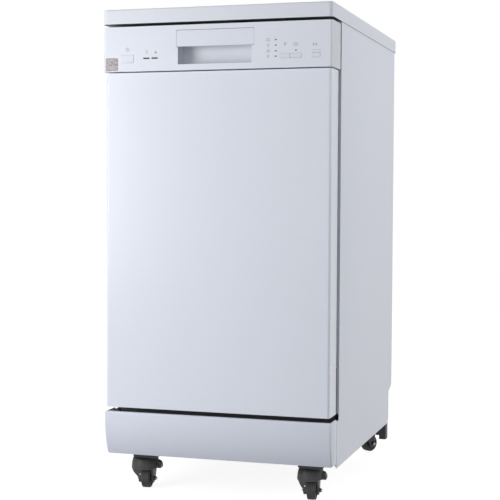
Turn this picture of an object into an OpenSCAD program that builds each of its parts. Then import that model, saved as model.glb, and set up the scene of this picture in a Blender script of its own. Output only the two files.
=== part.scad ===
// Portable dishwasher on casters, 45 cm class, door at the front.
// Millimetres. +Z is up, the front faces -Y and +X is the viewer's right.
// The modules draw with y = 0 at the worktop's front edge, so y is the depth
// behind that edge; placed() then moves the origin to the floor under the middle.

/* [Overall] */
// Width across the worktop
worktop_w = 448; // [446:1:452]
// Depth of the worktop, front edge to rear edge
worktop_d = 610; // [606:1:620]
// Height from the floor to the top of the worktop
overall_h = 925; // [923:1:930]
// Thickness of the worktop's edge
worktop_t = 28; // [26:1:30]

/* [Cabinet] */
// Width across the side panels
cabinet_w = 446; // [446:1:448]
// Thickness of the painted side panels
skin_t = 1.2; // [0.8:0.1:1.4]
// Depth of the side panels' front edge
side_front = 72; // [72:0.5:74]
// Depth of the side panels' rear edge
side_rear = 595; // [594:1:598]

/* [Door] */
// Width of the painted door panel
door_w = 440; // [436:1:440]
// Height of the hinge line above the floor
hinge_z = 187; // [186.5:0.1:187.5]
// Depth of the hinge line
hinge_d = 30; // [29.5:0.1:30.5]
// Radius of a hinge pin
hinge_pin_r = 5; // [4:0.5:5]
// Height of the control panel's upper edge
panel_top = 892; // [890:0.5:893]

/* [Tub] */
// Half the inner width of the wash tub
tub_half_w = 200; // [199:0.5:200]
// Inner height of the tub's ceiling above the floor
tub_top = 858; // [850:1:858]
// Depth of the tub's inner rear wall
tub_rear = 560; // [556:1:562]
// Height that the lower rack's wheels roll on
track_z = 208; // [208:0.5:208.5]

/* [Racks] */
// Diameter of a rack wire
wire_d = 3.6; // [3:0.1:4]
// Distance between a rack's parallel wires
wire_pitch = 28; // [24:1:32]
// Length of a spray arm from its hub to its tip
arm_reach = 152; // [130:1:156]

/* [Casters] */
// Radius of a caster wheel
caster_r = 18.5; // [17.5:0.5:18.5]
// Width of a caster wheel
caster_w = 17; // [15:0.5:17]
// Distance of the wheel's axle from the swivel axis
caster_trail = 12; // [10:0.5:12]
// Turn of the front casters, away from straight ahead
front_turn = 6; // [0:1:20]
// Turn of the rear casters, outward from straight back
rear_turn = 35; // [0:5:45]

/* [Hidden] */
$fn = 64;
top_under = overall_h - worktop_t;
cabinet_x = cabinet_w / 2;
skin_x = cabinet_x - skin_t;
fit = 0.05;        // radial play of a running fit
seam = 0.1;        // hairline between the welded panels of a rack

// Worktop
edge_r = 3;
plan_r = 9;
board_t = 18;
board_w = worktop_w - 40;
board_d = worktop_d - 40;
ledge = 10;

// Side panels, seen from the side
side_step_z = 157;
side_step_d = 55.5;
side_bottom = 69;
side_rise = 2.6;
notch_z = 152;
notch_foot_z = 141;
notch_d = 562;

// Plinth
plinth_top = 161;
plinth_bottom = 77;
plinth_front = 6.6;
plinth_flat = 20;
plinth_foot_d = 22;
plinth_t = 2;
plinth_drop = plinth_top - plinth_flat - plinth_bottom;
plinth_back = plinth_foot_d - plinth_front;
plinth_curve_r = (pow(plinth_back, 2) + pow(plinth_drop, 2)) / (2 * plinth_back);

// Base tray
tray_x = 216;
tray_front = 70;
tray_rear = 590;
tray_bottom = 72;
tray_top = 168;
tray_t = 4;
foot_x = [193, 201];    // inner faces of a rear corner foot, clear of a swivelling caster
foot_z = [31, 40];
foot_d = 568;
hose_z = 122;
inlet_x = -150;
drain_x = -92;
gland_x = 150;

// Door
door_bottom = 169.7;
door_top = 806;
door_front = 7;
door_t = 1;
door_return = 60;
door_corner_r = 5;
liner_d = 50;
liner_t = 1;
liner_top = 886;
dish_depth = 6;
dish_x = 158;
dish_bottom = 232;
dish_top = 800;
bracket_x = [204, 207];
plate_x = [209, 211.5];

// Control panel
panel_bottom = 808;
panel_front = 1;
panel_t = 2.5;
panel_return = 63;
pocket_x = [-73, 71];
pocket_z = [819, 851];
lever_x = [-76, 75];
lever_z = [852, 882];
lever_pivot = [5, 879];
lever_pin_r = 2;

// Buttons: left, right, bottom, top
power_key = [-186.5, -162, 824.5, 838.5];
program_key = [125, 143.2, 825.5, 833.4];
half_key = [144, 165, 825.5, 833.4];
start_key = [184.7, 199.5, 825.5, 838.5];
key_gap = 0.35;
key_front = 0.4;
key_back = 12;

// Dispenser
cup_x = [-60, 15];
cup_z = [446, 514];
cap_x = 44;
cap_z = 480;
cap_shaft_r = 8;
lid_pivot = [52.2, 441];

// Tub
tub_t = 1.2;
tub_front = 57;
tub_r = 25;
collar_w = 10;
basin_z = 190;
basin_x = 163;
arm_d = 316;
arm_pin_r = 6;
filter_x = 72;
filter_d = 424;
filter_r = 38;
sump_r = 57;

// Racks
rack_front = 95;
rack_rear = 540;
lower_half_w = 168;
lower_z = [237, 318];
upper_half_w = 170;
upper_z = [552, 640];
rail_x = [184, 196];
rail_z = [586, 612];
roller_z = (rail_z[0] + rail_z[1]) / 2;
roller_r = (rail_z[1] - rail_z[0]) / 2 - 2.3;
rack_wheel_r = 14;
rack_wheel_d = [194, 470];

// Casters
caster_x = 167.5;
caster_front_d = 99;
caster_rear_d = 575;
axle_r = 2.5;
king_r = 5;
plate_z = [59, 62];
plate_size = [40, 38];
head_z = [46, 58.4];
head_r = 14;
bridge_z = 49;
cheek_x = [9.5, 12.5];
well_gap = 1.4;
dome_z = [33, 56];
dome_r = 23;
dome_t = 2.7;
pedal_pin_r = 2;
pedal_pivot = [19, 42];    // across and up, beside the fork
pedal_half = 9;
CASTERS = [
    [-caster_x, caster_front_d, front_turn],
    [caster_x, caster_front_d, front_turn],
    [-caster_x, caster_rear_d, 180 + rear_turn],
    [caster_x, caster_rear_d, 180 - rear_turn]
];

// ---- Drawing helpers ------------------------------------------------------

// Box from three [low, high] pairs.
module box(x, y, z)
    translate([x[0], y[0], z[0]]) cube([x[1] - x[0], y[1] - y[0], z[1] - z[0]]);

// Rectangle with true round corners, centred.
module rounded(w, d, r) {
    square([w - 2 * r, d], center = true);
    square([w, d - 2 * r], center = true);
    for (sx = [-1, 1], sy = [-1, 1])
        translate([sx * (w / 2 - r), sy * (d / 2 - r)]) circle(r);
}

// Rectangle standing on y = 0 whose two upper corners are round.
module arch(w, h, r) {
    translate([-w / 2, 0]) square([w, h - r]);
    translate([-w / 2 + r, 0]) square([w - 2 * r, h]);
    for (sx = [-1, 1]) translate([sx * (w / 2 - r), h - r]) circle(r);
}

// Plan of a front cover: two round front corners, open stretch to the back.
module cover_plan(w, front, back, r)
    translate([0, back]) mirror([0, 1]) arch(w, back - front, r);

// Slot outline: a rectangle with half-round ends.
module slot(length, width) {
    square([length - width, width], center = true);
    for (s = [-1, 1]) translate([s * (length - width) / 2, 0]) circle(width / 2);
}

// Extrudes a plan upward from z0 to z1.
module tall(z) translate([0, 0, z[0]]) linear_extrude(z[1] - z[0]) children();

// Extrudes an (x, z) outline along the depth.
module deep(y) translate([0, y[1], 0]) rotate([90, 0, 0]) linear_extrude(y[1] - y[0]) children();

// Extrudes a (depth, z) outline across the width.
module wide(x) translate([x[0], 0, 0]) rotate([90, 0, 90]) linear_extrude(x[1] - x[0]) children();

// Round bar across the width.
module bar_x(x, r, y, z) translate([x[0], y, z]) rotate([0, 90, 0]) cylinder(x[1] - x[0], r, r);

// Round bar along the depth.
module bar_y(y, r, x, z) translate([x, y[0], z]) rotate([-90, 0, 0]) cylinder(y[1] - y[0], r, r);

module both_sides() {
    children();
    mirror([1, 0, 0]) children();
}

// Cutter that rounds both front corners of a cover of half width x.
module corner_cut(x, y, r, z) both_sides() tall(z) difference() {
    translate([x - r, y - 1]) square([r + 1, r + 1]);
    translate([x - r, y + r]) circle(r);
}

module placed() translate([0, -worktop_d / 2, 0]) children();

// Caster frame: its origin lies on the floor under the swivel axis and
// the wheel trails towards -Y.
module at_caster(i)
    translate([CASTERS[i][0], CASTERS[i][1], 0]) rotate(CASTERS[i][2]) children();

// ---- Cabinet --------------------------------------------------------------

// Quarter of a disc, in the corner where both coordinates are positive.
module quarter(r) intersection() {
    circle(r);
    square(r);
}

module worktop_slab() {
    round_z = overall_h - edge_r;
    side_run = worktop_w / 2 - plan_r;
    long_run = worktop_d / 2 - plan_r;
    translate([0, worktop_d / 2, 0]) {
        tall([top_under, round_z]) rounded(worktop_w, worktop_d, plan_r);
        tall([round_z, overall_h])
            rounded(worktop_w - 2 * edge_r, worktop_d - 2 * edge_r, plan_r - edge_r);
        // Rounded nosing: four straight runs and four turned corners
        for (end = [0, 1]) mirror([0, end, 0]) {
            wide([-side_run, side_run]) translate([worktop_d / 2 - edge_r, round_z]) quarter(edge_r);
            mirror([end, 0, 0]) both_sides() translate([side_run, long_run, round_z])
                rotate_extrude(angle = 90) translate([plan_r - edge_r, 0]) quarter(edge_r);
        }
        both_sides() deep([-long_run, long_run])
            translate([worktop_w / 2 - edge_r, round_z]) quarter(edge_r);
    }
}

module worktop_frame() color("white") difference() {
    worktop_slab();
    translate([0, worktop_d / 2, overall_h - board_t]) linear_extrude(board_t + 1)
        rounded(board_w, board_d, 4);
    translate([0, worktop_d / 2, top_under - 1]) linear_extrude(worktop_t)
        rounded(board_w - 2 * ledge, board_d - 2 * ledge, 4);
}

module worktop_board() color("whitesmoke")
    translate([0, worktop_d / 2, overall_h - board_t]) linear_extrude(board_t)
        rounded(board_w - 0.4, board_d - 0.4, 3.8);

module right_side_sheet() {
    front_flange = 10;
    rear_flange = 16;
    wide([skin_x, cabinet_x]) polygon([
        [side_front, side_step_z], [side_front, top_under], [side_rear, top_under],
        [side_rear, notch_z], [notch_d, notch_foot_z], [notch_d, side_bottom + 9],
        [notch_d - 14, side_bottom + side_rise], [side_step_d, side_bottom],
        [side_step_d, side_step_z]
    ]);
    // The front flange starts above the base tray
    box([skin_x - front_flange, skin_x], [side_front, side_front + skin_t],
        [tray_top + 0.5, top_under]);
    box([skin_x - rear_flange, skin_x], [side_rear - skin_t, side_rear], [notch_z, top_under]);
    // Lower flange follows the bottom edge, which rises toward the rear
    wide([tray_x, skin_x]) polygon([
        [tray_front, side_bottom + 0.4], [notch_d - 14, side_bottom + side_rise],
        [notch_d - 14, side_bottom + side_rise + skin_t],
        [tray_front, side_bottom + 0.4 + skin_t]
    ]);
    box([tray_x - 6, skin_x], [side_front, side_rear], [top_under - skin_t, top_under]);
}

module right_side_panel() color("gainsboro") right_side_sheet();

module left_side_panel() color("gainsboro") mirror([1, 0, 0]) right_side_sheet();

module back_panel() color("silver") {
    rear = side_rear - skin_t;
    difference() {
        box([-skin_x, skin_x], [rear - 1, rear], [tray_top, top_under - skin_t]);
        for (z = [360, 640]) translate([0, 0, z]) deep([rear - 2, rear + 1]) slot(220, 18);
    }
    // Pressed stiffening ribs that close the two long slots
    for (z = [360, 640]) difference() {
        translate([0, 0, z]) deep([rear - 5, rear]) slot(222, 20);
        translate([0, 0, z]) deep([rear - 4, rear + 1]) slot(220, 18);
    }
}

// Side view of the plinth's outside: upright at the top, then one arc back.
module plinth_profile(inset, back) {
    bend_z = plinth_top - plinth_flat;
    translate([plinth_front + inset, bend_z]) square([back - plinth_front - inset, plinth_flat]);
    difference() {
        translate([plinth_front + inset, plinth_bottom])
            square([back - plinth_front - inset, plinth_drop]);
        difference() {
            translate([0, plinth_bottom - 1]) square([plinth_foot_d + 10, plinth_drop + 1]);
            translate([plinth_front + plinth_curve_r, bend_z]) circle(plinth_curve_r - inset, $fn = 360);
        }
    }
}

module plinth() color("gainsboro") {
    lip = 4;
    inner_x = cabinet_x - plinth_t;
    difference() {
        wide([-cabinet_x, cabinet_x]) plinth_profile(0, side_step_d);
        corner_cut(cabinet_x, plinth_front, door_corner_r, [plinth_bottom - 1, plinth_top + 1]);
        // Hollow behind the sheet, open to the rear and below
        wide([-inner_x, inner_x]) difference() {
            plinth_profile(plinth_t, side_step_d + 5);
            translate([0, plinth_top - plinth_t])
                square([plinth_front + plinth_t + lip, plinth_t + 1]);
        }
    }
    // Mounting arms that reach back to the base tray
    both_sides() box([176, 192], [11.5, tray_front], [100, 116]);
}

module base_tray() color("dimgray") {
    difference() {
        box([-tray_x, tray_x], [tray_front, tray_rear], [tray_bottom, tray_top]);
        box([tray_t - tray_x, tray_x - tray_t], [tray_front + tray_t, tray_rear - tray_t],
            [tray_bottom + tray_t, tray_top + 1]);
        bar_y([tray_rear - 10, tray_rear + 1], 14.5, inlet_x, hose_z);
        bar_y([tray_rear - 10, tray_rear + 1], 11, drain_x, hose_z);
        box([gland_x - 10, gland_x + 10], [tray_rear - 10, tray_rear + 1],
            [hose_z - 8, hose_z + 8]);
    }
    // Pads for the casters and the two rear corner feet
    both_sides() {
        box([caster_x - 24, caster_x + 24], [caster_front_d - 23, caster_front_d + 24],
            [plate_z[1], tray_bottom]);
        box([caster_x - 24, caster_x + 24], [caster_rear_d - 24, tray_rear],
            [plate_z[1], tray_bottom]);
        box([foot_x[0], tray_x], [foot_d, tray_rear], [foot_z[1], tray_bottom]);
        box([foot_x[1], tray_x], [foot_d, tray_rear], [foot_z[0], foot_z[1]]);
    }
    // Rails that carry the tub
    for (x = [-120, 120]) box([x - 4, x + 4], [90, 350], [tray_bottom + tray_t, 186]);
}

module front_rail() color("silver") {
    rail_t = 1.5;
    rail = [70.5, 92];
    difference() {
        box([-skin_x, skin_x], rail, [874, top_under - skin_t - 0.3]);
        box([-skin_x - 1, skin_x + 1], [rail[0] + rail_t, rail[1] - rail_t],
            [873, top_under - skin_t - 0.3 - rail_t]);
        both_sides() box([skin_x - 11, skin_x + 1], [rail[0] - 1, side_front + skin_t + 0.3],
            [873, top_under]);
    }
    // Strike that the latch's tooth stands behind
    box([-18, 18], [58, rail[0]], [893.8, 895.5]);
    box([-18, 18], [58, 63.6], [883, 893.8]);
}

// ---- Tub ------------------------------------------------------------------

// Front view of the tub's opening, grown outward by a margin.
module tub_outline(margin, foot)
    translate([0, foot]) arch(2 * (tub_half_w + margin), tub_top + margin - foot, tub_r + margin);

module tub_wrap() color("lightgray") {
    difference() {
        deep([tub_front, tub_rear + tub_t]) tub_outline(tub_t, basin_z - 4);
        deep([tub_front - 1, tub_rear]) tub_outline(0, basin_z - 10);
    }
    // Collar that carries the gasket
    difference() {
        deep([tub_front - 1.5, tub_front]) tub_outline(collar_w, 204);
        deep([tub_front - 3, tub_front + 1]) tub_outline(0, 150);
    }
}

module tub_floor() color("silver") difference() {
    box([-tub_half_w, tub_half_w], [60, tub_rear], [basin_z - 4, track_z]);
    translate([0, (78 + 542) / 2, basin_z]) linear_extrude(40) rounded(2 * basin_x, 542 - 78, 22);
    translate([filter_x, filter_d, 100]) cylinder(150, sump_r, sump_r);
}

module door_gasket() color("dimgray") {
    difference() {
        deep([51.4, tub_front - 1.5]) tub_outline(9.5, 206);
        deep([50, tub_front]) tub_outline(1.5, 150);
    }
    box([-198, 198], [57.6, 60], [188, 205]);
}

module seal_blocks() color("black") both_sides() {
    box([212, 218.5], [64, side_front], [169, 255]);
}

module hinge_brackets() color("slategray") both_sides() difference() {
    union() {
        bar_x(bracket_x, 8, hinge_d, hinge_z);
        box(bracket_x, [hinge_d, 150], [hinge_z - 8, hinge_z + 8]);
        box(bracket_x, [78, 150], [tray_top, hinge_z]);
        box([bracket_x[0], tray_x], [78, 150], [tray_top, tray_top + 3]);
    }
    bar_x([bracket_x[0] - 1, bracket_x[1] + 1], hinge_pin_r, hinge_d, hinge_z);
}

module hinge_pins() color("silver") both_sides() {
    bar_x([bracket_x[0] - 1.5, plate_x[1] + 1], hinge_pin_r, hinge_d, hinge_z);
    bar_x([bracket_x[0] - 3, bracket_x[0]], hinge_pin_r + 2, hinge_d, hinge_z);
}

module door_springs() color("silver") both_sides() {
    bar_y([170, 300], 8, 188, 128);
    bar_y([120, 170], 1.5, 188, 128);
    bar_y([300, 330], 1.5, 188, 128);
    // Eyes that hook on the bracket's tail and on the tray's side wall
    box([186.5, bracket_x[0]], [118, 121], [126.5, 129.5]);
    box([bracket_x[0] - 1.5, bracket_x[0]], [118, 121], [129.5, tray_top + 8]);
    box([186.5, tray_x - tray_t], [329, 332], [126.5, 129.5]);
}

module sump() color("dimgray") translate([filter_x, filter_d, 0]) difference() {
    translate([0, 0, 146]) cylinder(basin_z - 4 - 146, sump_r + 3, sump_r + 3);
    translate([0, 0, 150]) cylinder(60, sump_r, sump_r);
}

module filter_plate() color("silver") translate([filter_x, filter_d, basin_z]) difference() {
    cylinder(1.5, sump_r + 4, sump_r + 4);
    translate([0, 0, -1]) cylinder(4, filter_r + fit, filter_r + fit);
}

module filter_cylinder() color("lightslategray") translate([filter_x, filter_d, 0]) {
    difference() {
        translate([0, 0, 154]) cylinder(43, filter_r, filter_r);
        translate([0, 0, 158]) cylinder(60, filter_r - 3, filter_r - 3);
        // Windows that the fine mesh closes on the real piece
        for (a = [0:45:315]) rotate(a) box([filter_r - 8, filter_r + 2], [-8, 8], [161, 184]);
    }
    translate([0, 0, 190]) cylinder(4, filter_r - 2, filter_r - 2);
    rotate(40) box([-22, 22], [-3, 3], [193, 206]);
}

module heater() color("darkgray") {
    ring_r = 104;
    clip_z = basin_z + 8;
    translate([0, arm_d, clip_z]) rotate(98) rotate_extrude(angle = 250)
        translate([ring_r, 0]) circle(4);
    for (a = [130, 220, 310]) translate([0, arm_d, basin_z]) rotate(a)
        translate([ring_r, 0, 0]) cylinder(8, 3, 3);
}

module wash_pump() color("gray") {
    bar_x([-150, -24], 38, 400, 124);
    bar_x([-24, 6], 44, 400, 124);
    box([6, 12], [388, 412], [150, 165]);
    box([-130, -50], [370, 430], [tray_bottom + tray_t, 92]);
}

module drain_pump() color("gray") {
    bar_y([486, 550], 26, filter_x, 130);
    bar_y([484, 486], 12, filter_x, 160);
    box([filter_x - 20, filter_x + 20], [495, 545], [tray_bottom + tray_t, 108]);
    box([filter_x - 8, filter_x + 8], [486, 500], [148, 172]);
}

module inlet_valve() color("royalblue") {
    thread_r = 13.2;
    box([inlet_x - 20, inlet_x + 20], [540, 582], [hose_z - 18, hose_z + 18]);
    bar_y([582, tray_rear - tray_t], 20, inlet_x, hose_z);
    difference() {
        bar_y([tray_rear - tray_t, 604], thread_r, inlet_x, hose_z);
        bar_y([592, 605], 9, inlet_x, hose_z);
    }
}

module drain_outlet() color("dimgray") difference() {
    union() {
        bar_y([570, tray_rear - tray_t], 16, drain_x, hose_z);
        bar_y([tray_rear - tray_t, 606], 9.5, drain_x, hose_z);
    }
    bar_y([575, 607], 7, drain_x, hose_z);
}

module cord_gland() color("black") {
    box([gland_x - 9.7, gland_x + 9.7], [580, tray_rear], [hose_z - 7.7, hose_z + 7.7]);
    translate([gland_x, 0, hose_z]) deep([tray_rear, tray_rear + 3]) rounded(28, 24, 4);
    translate([gland_x, 0, hose_z]) deep([tray_rear + 3, tray_rear + 9]) rounded(14, 10, 4.9);
}

module supply_pipe() color("gainsboro") {
    // Pedestal and pin of the lower spray arm
    translate([0, arm_d, basin_z]) cylinder(track_z + 5 - basin_z, 13, 13);
    translate([0, arm_d, basin_z]) cylinder(38, arm_pin_r, arm_pin_r);
    // Flat duct along the basin and the riser on the rear wall
    riser_d = rack_rear + 1.5;
    box([-11, 11], [arm_d, 530], [basin_z, basin_z + 7]);
    box([-11, 11], [530, riser_d], [basin_z, track_z]);
    box([-11, 11], [530, tub_rear], [track_z, track_z + 8]);
    box([-11, 11], [riser_d, tub_rear], [track_z + 8, 532]);
    // Nozzle that the upper rack's feed tube docks with
    bar_y([536, tub_rear], 10.5, 0, 538);
}

module rack_rollers() color("white") both_sides() for (y = [118, 178]) {
    bar_x([rail_x[0] + 3, rail_x[1] - 0.5], roller_r, y, roller_z);
    bar_x([rail_x[1] - 0.5, tub_half_w], 4, y, roller_z);
}

// ---- Door -----------------------------------------------------------------

module door_outer_panel() color("white") {
    difference() {
        tall([door_bottom, door_top])
            cover_plan(door_w, door_front, door_return, door_corner_r);
        tall([door_bottom + door_t, door_top - door_t]) translate([0, 0.01])
            cover_plan(door_w - 2 * door_t, door_front + door_t, door_return + 1,
                door_corner_r - door_t);
        // Upper and lower returns stop at the inner liner
        for (z = [door_bottom, door_top])
            box([door_t - door_w / 2, door_w / 2 - door_t], [liner_d, door_return + 1],
                [z - 2, z + 2]);
        // Room for the hinge brackets as the door swings
        both_sides() box([bracket_x[0] - 1.5, bracket_x[1] + 1.5], [hinge_d - 11, liner_d + 1],
            [door_bottom - 1, door_bottom + 2]);
    }
}

module door_inner_panel() color("lightgray") {
    half = door_w / 2 - door_t;
    front = liner_d - dish_depth;
    difference() {
        box([-half, half], [liner_d, liner_d + liner_t], [door_bottom + 0.8, liner_top]);
        box([-dish_x, dish_x], [liner_d - 1, liner_d + 2], [dish_bottom, dish_top]);
        box([-14, 14], [liner_d - 1, liner_d + 2], [866, liner_top + 1]);
        both_sides() box([bracket_x[0] - 1.5, bracket_x[1] + 1.5], [liner_d - 1, liner_d + 2],
            [door_bottom, hinge_z + 10]);
    }
    // Pressed dish that holds the dispenser
    difference() {
        box([-dish_x - liner_t, dish_x + liner_t], [front, liner_d + liner_t],
            [dish_bottom - liner_t, dish_top + liner_t]);
        box([-dish_x, dish_x], [front + liner_t, liner_d + 2], [dish_bottom, dish_top]);
        box([cup_x[0] - 3, cup_x[1] + 3], [front - 1, liner_d], [cup_z[0] - 3, cup_z[1] + 3]);
        bar_y([front - 1, liner_d], cap_shaft_r + 3, cap_x, cap_z);
    }
}

module door_hinge_plates() color("slategray") both_sides() difference() {
    union() {
        bar_x(plate_x, 10, hinge_d, hinge_z);
        box(plate_x, [hinge_d - 10, hinge_d + 10], [hinge_z, 340]);
        // Flange screwed to the back of the inner liner
        box([198, plate_x[1]], [liner_d - 2, liner_d], [210, 340]);
        box(plate_x, [hinge_d + 10, liner_d], [210, 340]);
    }
    bar_x([plate_x[0] - 1, plate_x[1] + 1], hinge_pin_r + fit, hinge_d, hinge_z);
}

module key_hole(key)
    box([key[0] - key_gap, key[1] + key_gap], [0, 10], [key[2] - key_gap, key[3] + key_gap]);

// Scooped hollow behind the grip: flat sill, concave back, room for fingers.
module pocket_hollow(grow)
    wide([pocket_x[0] - grow, pocket_x[1] + grow]) intersection() {
        translate([2, 840]) circle(30 + grow, $fn = 128);
        translate([0, pocket_z[0] - grow]) square([40, 43 + 2 * grow]);
    }

module control_shell() difference() {
    tall([panel_bottom, panel_top]) cover_plan(cabinet_w, panel_front, panel_return, door_corner_r);
    tall([panel_bottom + panel_t, panel_top - panel_t]) translate([0, 0.01])
        cover_plan(cabinet_w - 2 * panel_t, panel_front + panel_t, panel_return + 1,
            door_corner_r - panel_t);
    // Upper and lower walls stop short of the cabinet's front frame
    for (z = [panel_bottom, panel_top])
        box([panel_t - cabinet_x, cabinet_x - panel_t], [liner_d, panel_return + 1],
            [z - panel_t - 1, z + panel_t + 1]);
}

module control_panel() color("white") {
    difference() {
        union() {
            control_shell();
            difference() {
                pocket_hollow(2.5);
                box([-100, 100], [-5, panel_front + 1], [800, 900]);
            }
            // Lugs for the lever's pivot pins
            for (x = [lever_x[0] - 6, lever_x[1] + 2])
                box([x, x + 4], [panel_front + 1, 14], [872, panel_top - 1]);
        }
        pocket_hollow(0);
        box(pocket_x, [0, 3], [pocket_z[0], 856]);
        box([lever_x[0] - 0.35, lever_x[1] + 0.5], [0, 7.5], [lever_z[0] - 1, lever_z[1] + 0.75]);
        // Back of the pocket opens where the lever's arm passes over it
        bar_x([-90, 90], lever_pin_r + fit, lever_pivot[0], lever_pivot[1]);
        for (key = [power_key, program_key, half_key, start_key]) key_hole(key);
        indicator_shapes(0.05);
    }
}

// Lamp windows, sunk flush into the panel's face.
module indicator_shapes(grow) {
    sink = [panel_front - 0.02, panel_front + 0.8];
    for (z = [859, 849, 838.5, 829])
        translate([116.7, 0, z]) deep(sink) slot(4 + grow, 2 + grow);
    translate([154.6, 0, 839]) deep(sink) slot(4 + grow, 2 + grow);
    for (x = [-135.8, -119]) translate([x, 0, 832]) deep(sink) slot(13 + grow, 3 + grow);
}

module indicator_lenses() color("darkslategray") indicator_shapes(0);

module button(key) {
    box([key[0], key[1]], [key_front, key_back], [key[2], key[3]]);
    // Collar that keeps the button in its hole
    box([key[0] - 1.2, key[1] + 1.2], [panel_front + panel_t + 0.3, panel_front + panel_t + 2],
        [key[2] - 1.2, key[3] + 1.2]);
}

// The two middle buttons share a seam, so their collars only reach outward.
module paired_button(key, outer) {
    box([key[0], key[1]], [key_front, key_back], [key[2], key[3]]);
    box([key[0] - (outer < 0 ? 1.2 : 0), key[1] + (outer > 0 ? 1.2 : 0)],
        [panel_front + panel_t + 0.3, panel_front + panel_t + 2], [key[2] - 1.2, key[3] + 1.2]);
}

module power_button() color("whitesmoke") button(power_key);
module program_button() color("whitesmoke") paired_button(program_key, -1);
module half_load_button() color("whitesmoke") paired_button(half_key, 1);
module start_button() color("whitesmoke") button(start_key);

module control_board() color("seagreen") {
    board = [16, 17.6];
    box([-206, -92], board, [815, 850]);
    box([96, 210], board, [815, 868]);
    // Switch bodies behind the four buttons
    for (key = [power_key, program_key, half_key, start_key])
        translate([(key[0] + key[1]) / 2 - 3, 0, (key[2] + key[3]) / 2 - 3])
            box([0, 6], [13.6, board[0]], [0, 6]);
    // Standoffs that carry the boards on the panel's lower wall
    for (x = [-200, -98, 102, 204])
        box([x - 3, x + 3], [board[0], 22], [panel_bottom + panel_t, 818]);
    box([-206, -92], [board[1], 30], [822, 840]);
}

module latch_lever() color("white") {
    pin = lever_pivot;
    difference() {
        wide(lever_x) union() {
            translate([1.4, lever_z[0]]) square([3, lever_z[1] - lever_z[0]]);
            // Rolled lower edge that the fingers pull
            translate([3.6, lever_z[0] + 2]) circle(2, $fn = 32);
        }
        box([-200, 200], [-1, 1.4], [840, 900]);
    }
    for (x = [lever_x[0], lever_x[1] - 3]) box([x, x + 3], [4, pin[0] + 3], [pin[1] - 3, pin[1] + 3]);
    for (x = [lever_x[0] - 5.5, lever_x[1] - 1])
        bar_x([x, x + 6.5], lever_pin_r, pin[0], pin[1]);
    // Arm and tooth that reach behind the strike
    box([-8, 8], [4, 68], [876, 880]);
    wide([-8, 8]) polygon([[64, 880], [64, 886.5], [65.5, 886.5], [68, 880]]);
}

module dispenser_body() color("whitesmoke") {
    back = liner_d - dish_depth + liner_t;
    difference() {
        union() {
            translate([0, 0, 480]) deep([back, 49]) rounded(156, 104, 10);
            box([cup_x[0] - 2.5, cup_x[1] + 2.5], [22, back], [cup_z[0] - 2.5, cup_z[1] + 2.5]);
            bar_y([30, back], cap_shaft_r + 2.5, cap_x, cap_z);
        }
        box(cup_x, [24.5, 60], cup_z);
        bar_y([33, 60], cap_shaft_r + fit, cap_x, cap_z);
    }
    // Knuckles of the lid's hinge
    for (x = [cup_x[0] - 1, cup_x[1] - 5]) difference() {
        union() {
            box([x, x + 6], [49, lid_pivot[0]], [lid_pivot[1] - 2.8, lid_pivot[1] + 2.8]);
            bar_x([x, x + 6], 2.8, lid_pivot[0], lid_pivot[1]);
        }
        bar_x([x - 1, x + 7], 1.2 + fit, lid_pivot[0], lid_pivot[1]);
    }
}

module dispenser_lid() color("lightsteelblue") {
    pin = lid_pivot;
    box([cup_x[0] - 2, cup_x[1] + 2], [49.4, 51.8], [cup_z[0] - 1, cup_z[1] + 2]);
    box([cup_x[0] + 6, cup_x[1] - 6], [pin[0] - 1.6, pin[0] + 1.6], [pin[1], cup_z[0] + 4]);
    bar_x([cup_x[0] - 1, cup_x[1] + 1], 1.2, pin[0], pin[1]);
    // Finger catch at the free edge
    box([-32, -14], [51.8, 54], [cup_z[1] - 6, cup_z[1] + 2]);
}

module rinse_cap() color("royalblue") {
    bar_y([34, 49.3], cap_shaft_r, cap_x, cap_z);
    bar_y([49.3, 52], 14, cap_x, cap_z);
    box([cap_x - 2.5, cap_x + 2.5], [52, 55.5], [cap_z - 12, cap_z + 12]);
}

// ---- Racks ----------------------------------------------------------------

// Depth of cross wire s under a rack's floor, 0 at the front to 5 at the rear.
function cross_wire_d(s) =
    rack_front + wire_d + 2 + s * (rack_rear - rack_front - 2 * wire_d - 4) / 5;

module wire_x(x, y, z) translate([x[0], y, z]) rotate([0, 90, 0]) cylinder(x[1] - x[0], d = wire_d, $fn = 8);
module wire_y(y, x, z) translate([x, y[0], z]) rotate([-90, 0, 0]) cylinder(y[1] - y[0], d = wire_d, $fn = 8);
module wire_z(z, x, y) translate([x, y, z[0]]) cylinder(z[1] - z[0], d = wire_d, $fn = 8);

// Flat floor: long wires laid on cross wires.
module rack_floor(half, y, z) {
    count = floor(2 * (half - 8) / wire_pitch);
    start = -count * wire_pitch / 2;
    for (i = [0:count]) wire_y(y, start + i * wire_pitch, z);
    for (s = [0:5]) wire_x([-half, half], cross_wire_d(s), z - wire_d * 0.8);
}

// Upright frames: rails at the foot and the rim with posts between.
module rack_side(x, y, z) {
    count = floor((y[1] - y[0]) / (2 * wire_pitch));
    step = (y[1] - y[0] - wire_d) / count;
    for (h = [z[0], (z[0] + z[1]) / 2, z[1]]) wire_y(y, x, h);
    for (i = [0:count]) wire_z([z[0] - 0.5, z[1] + 0.5], x, y[0] + wire_d / 2 + i * step);
}

module rack_end(half, y, z) {
    count = floor(half / wire_pitch);
    step = 2 * half / count;
    for (h = [z[0], (z[0] + z[1]) / 2, z[1]]) wire_x([-half, half], y, h);
    for (i = [0:count]) wire_z([z[0] - 0.5, z[1] + 0.5], -half + i * step, y);
}

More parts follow.
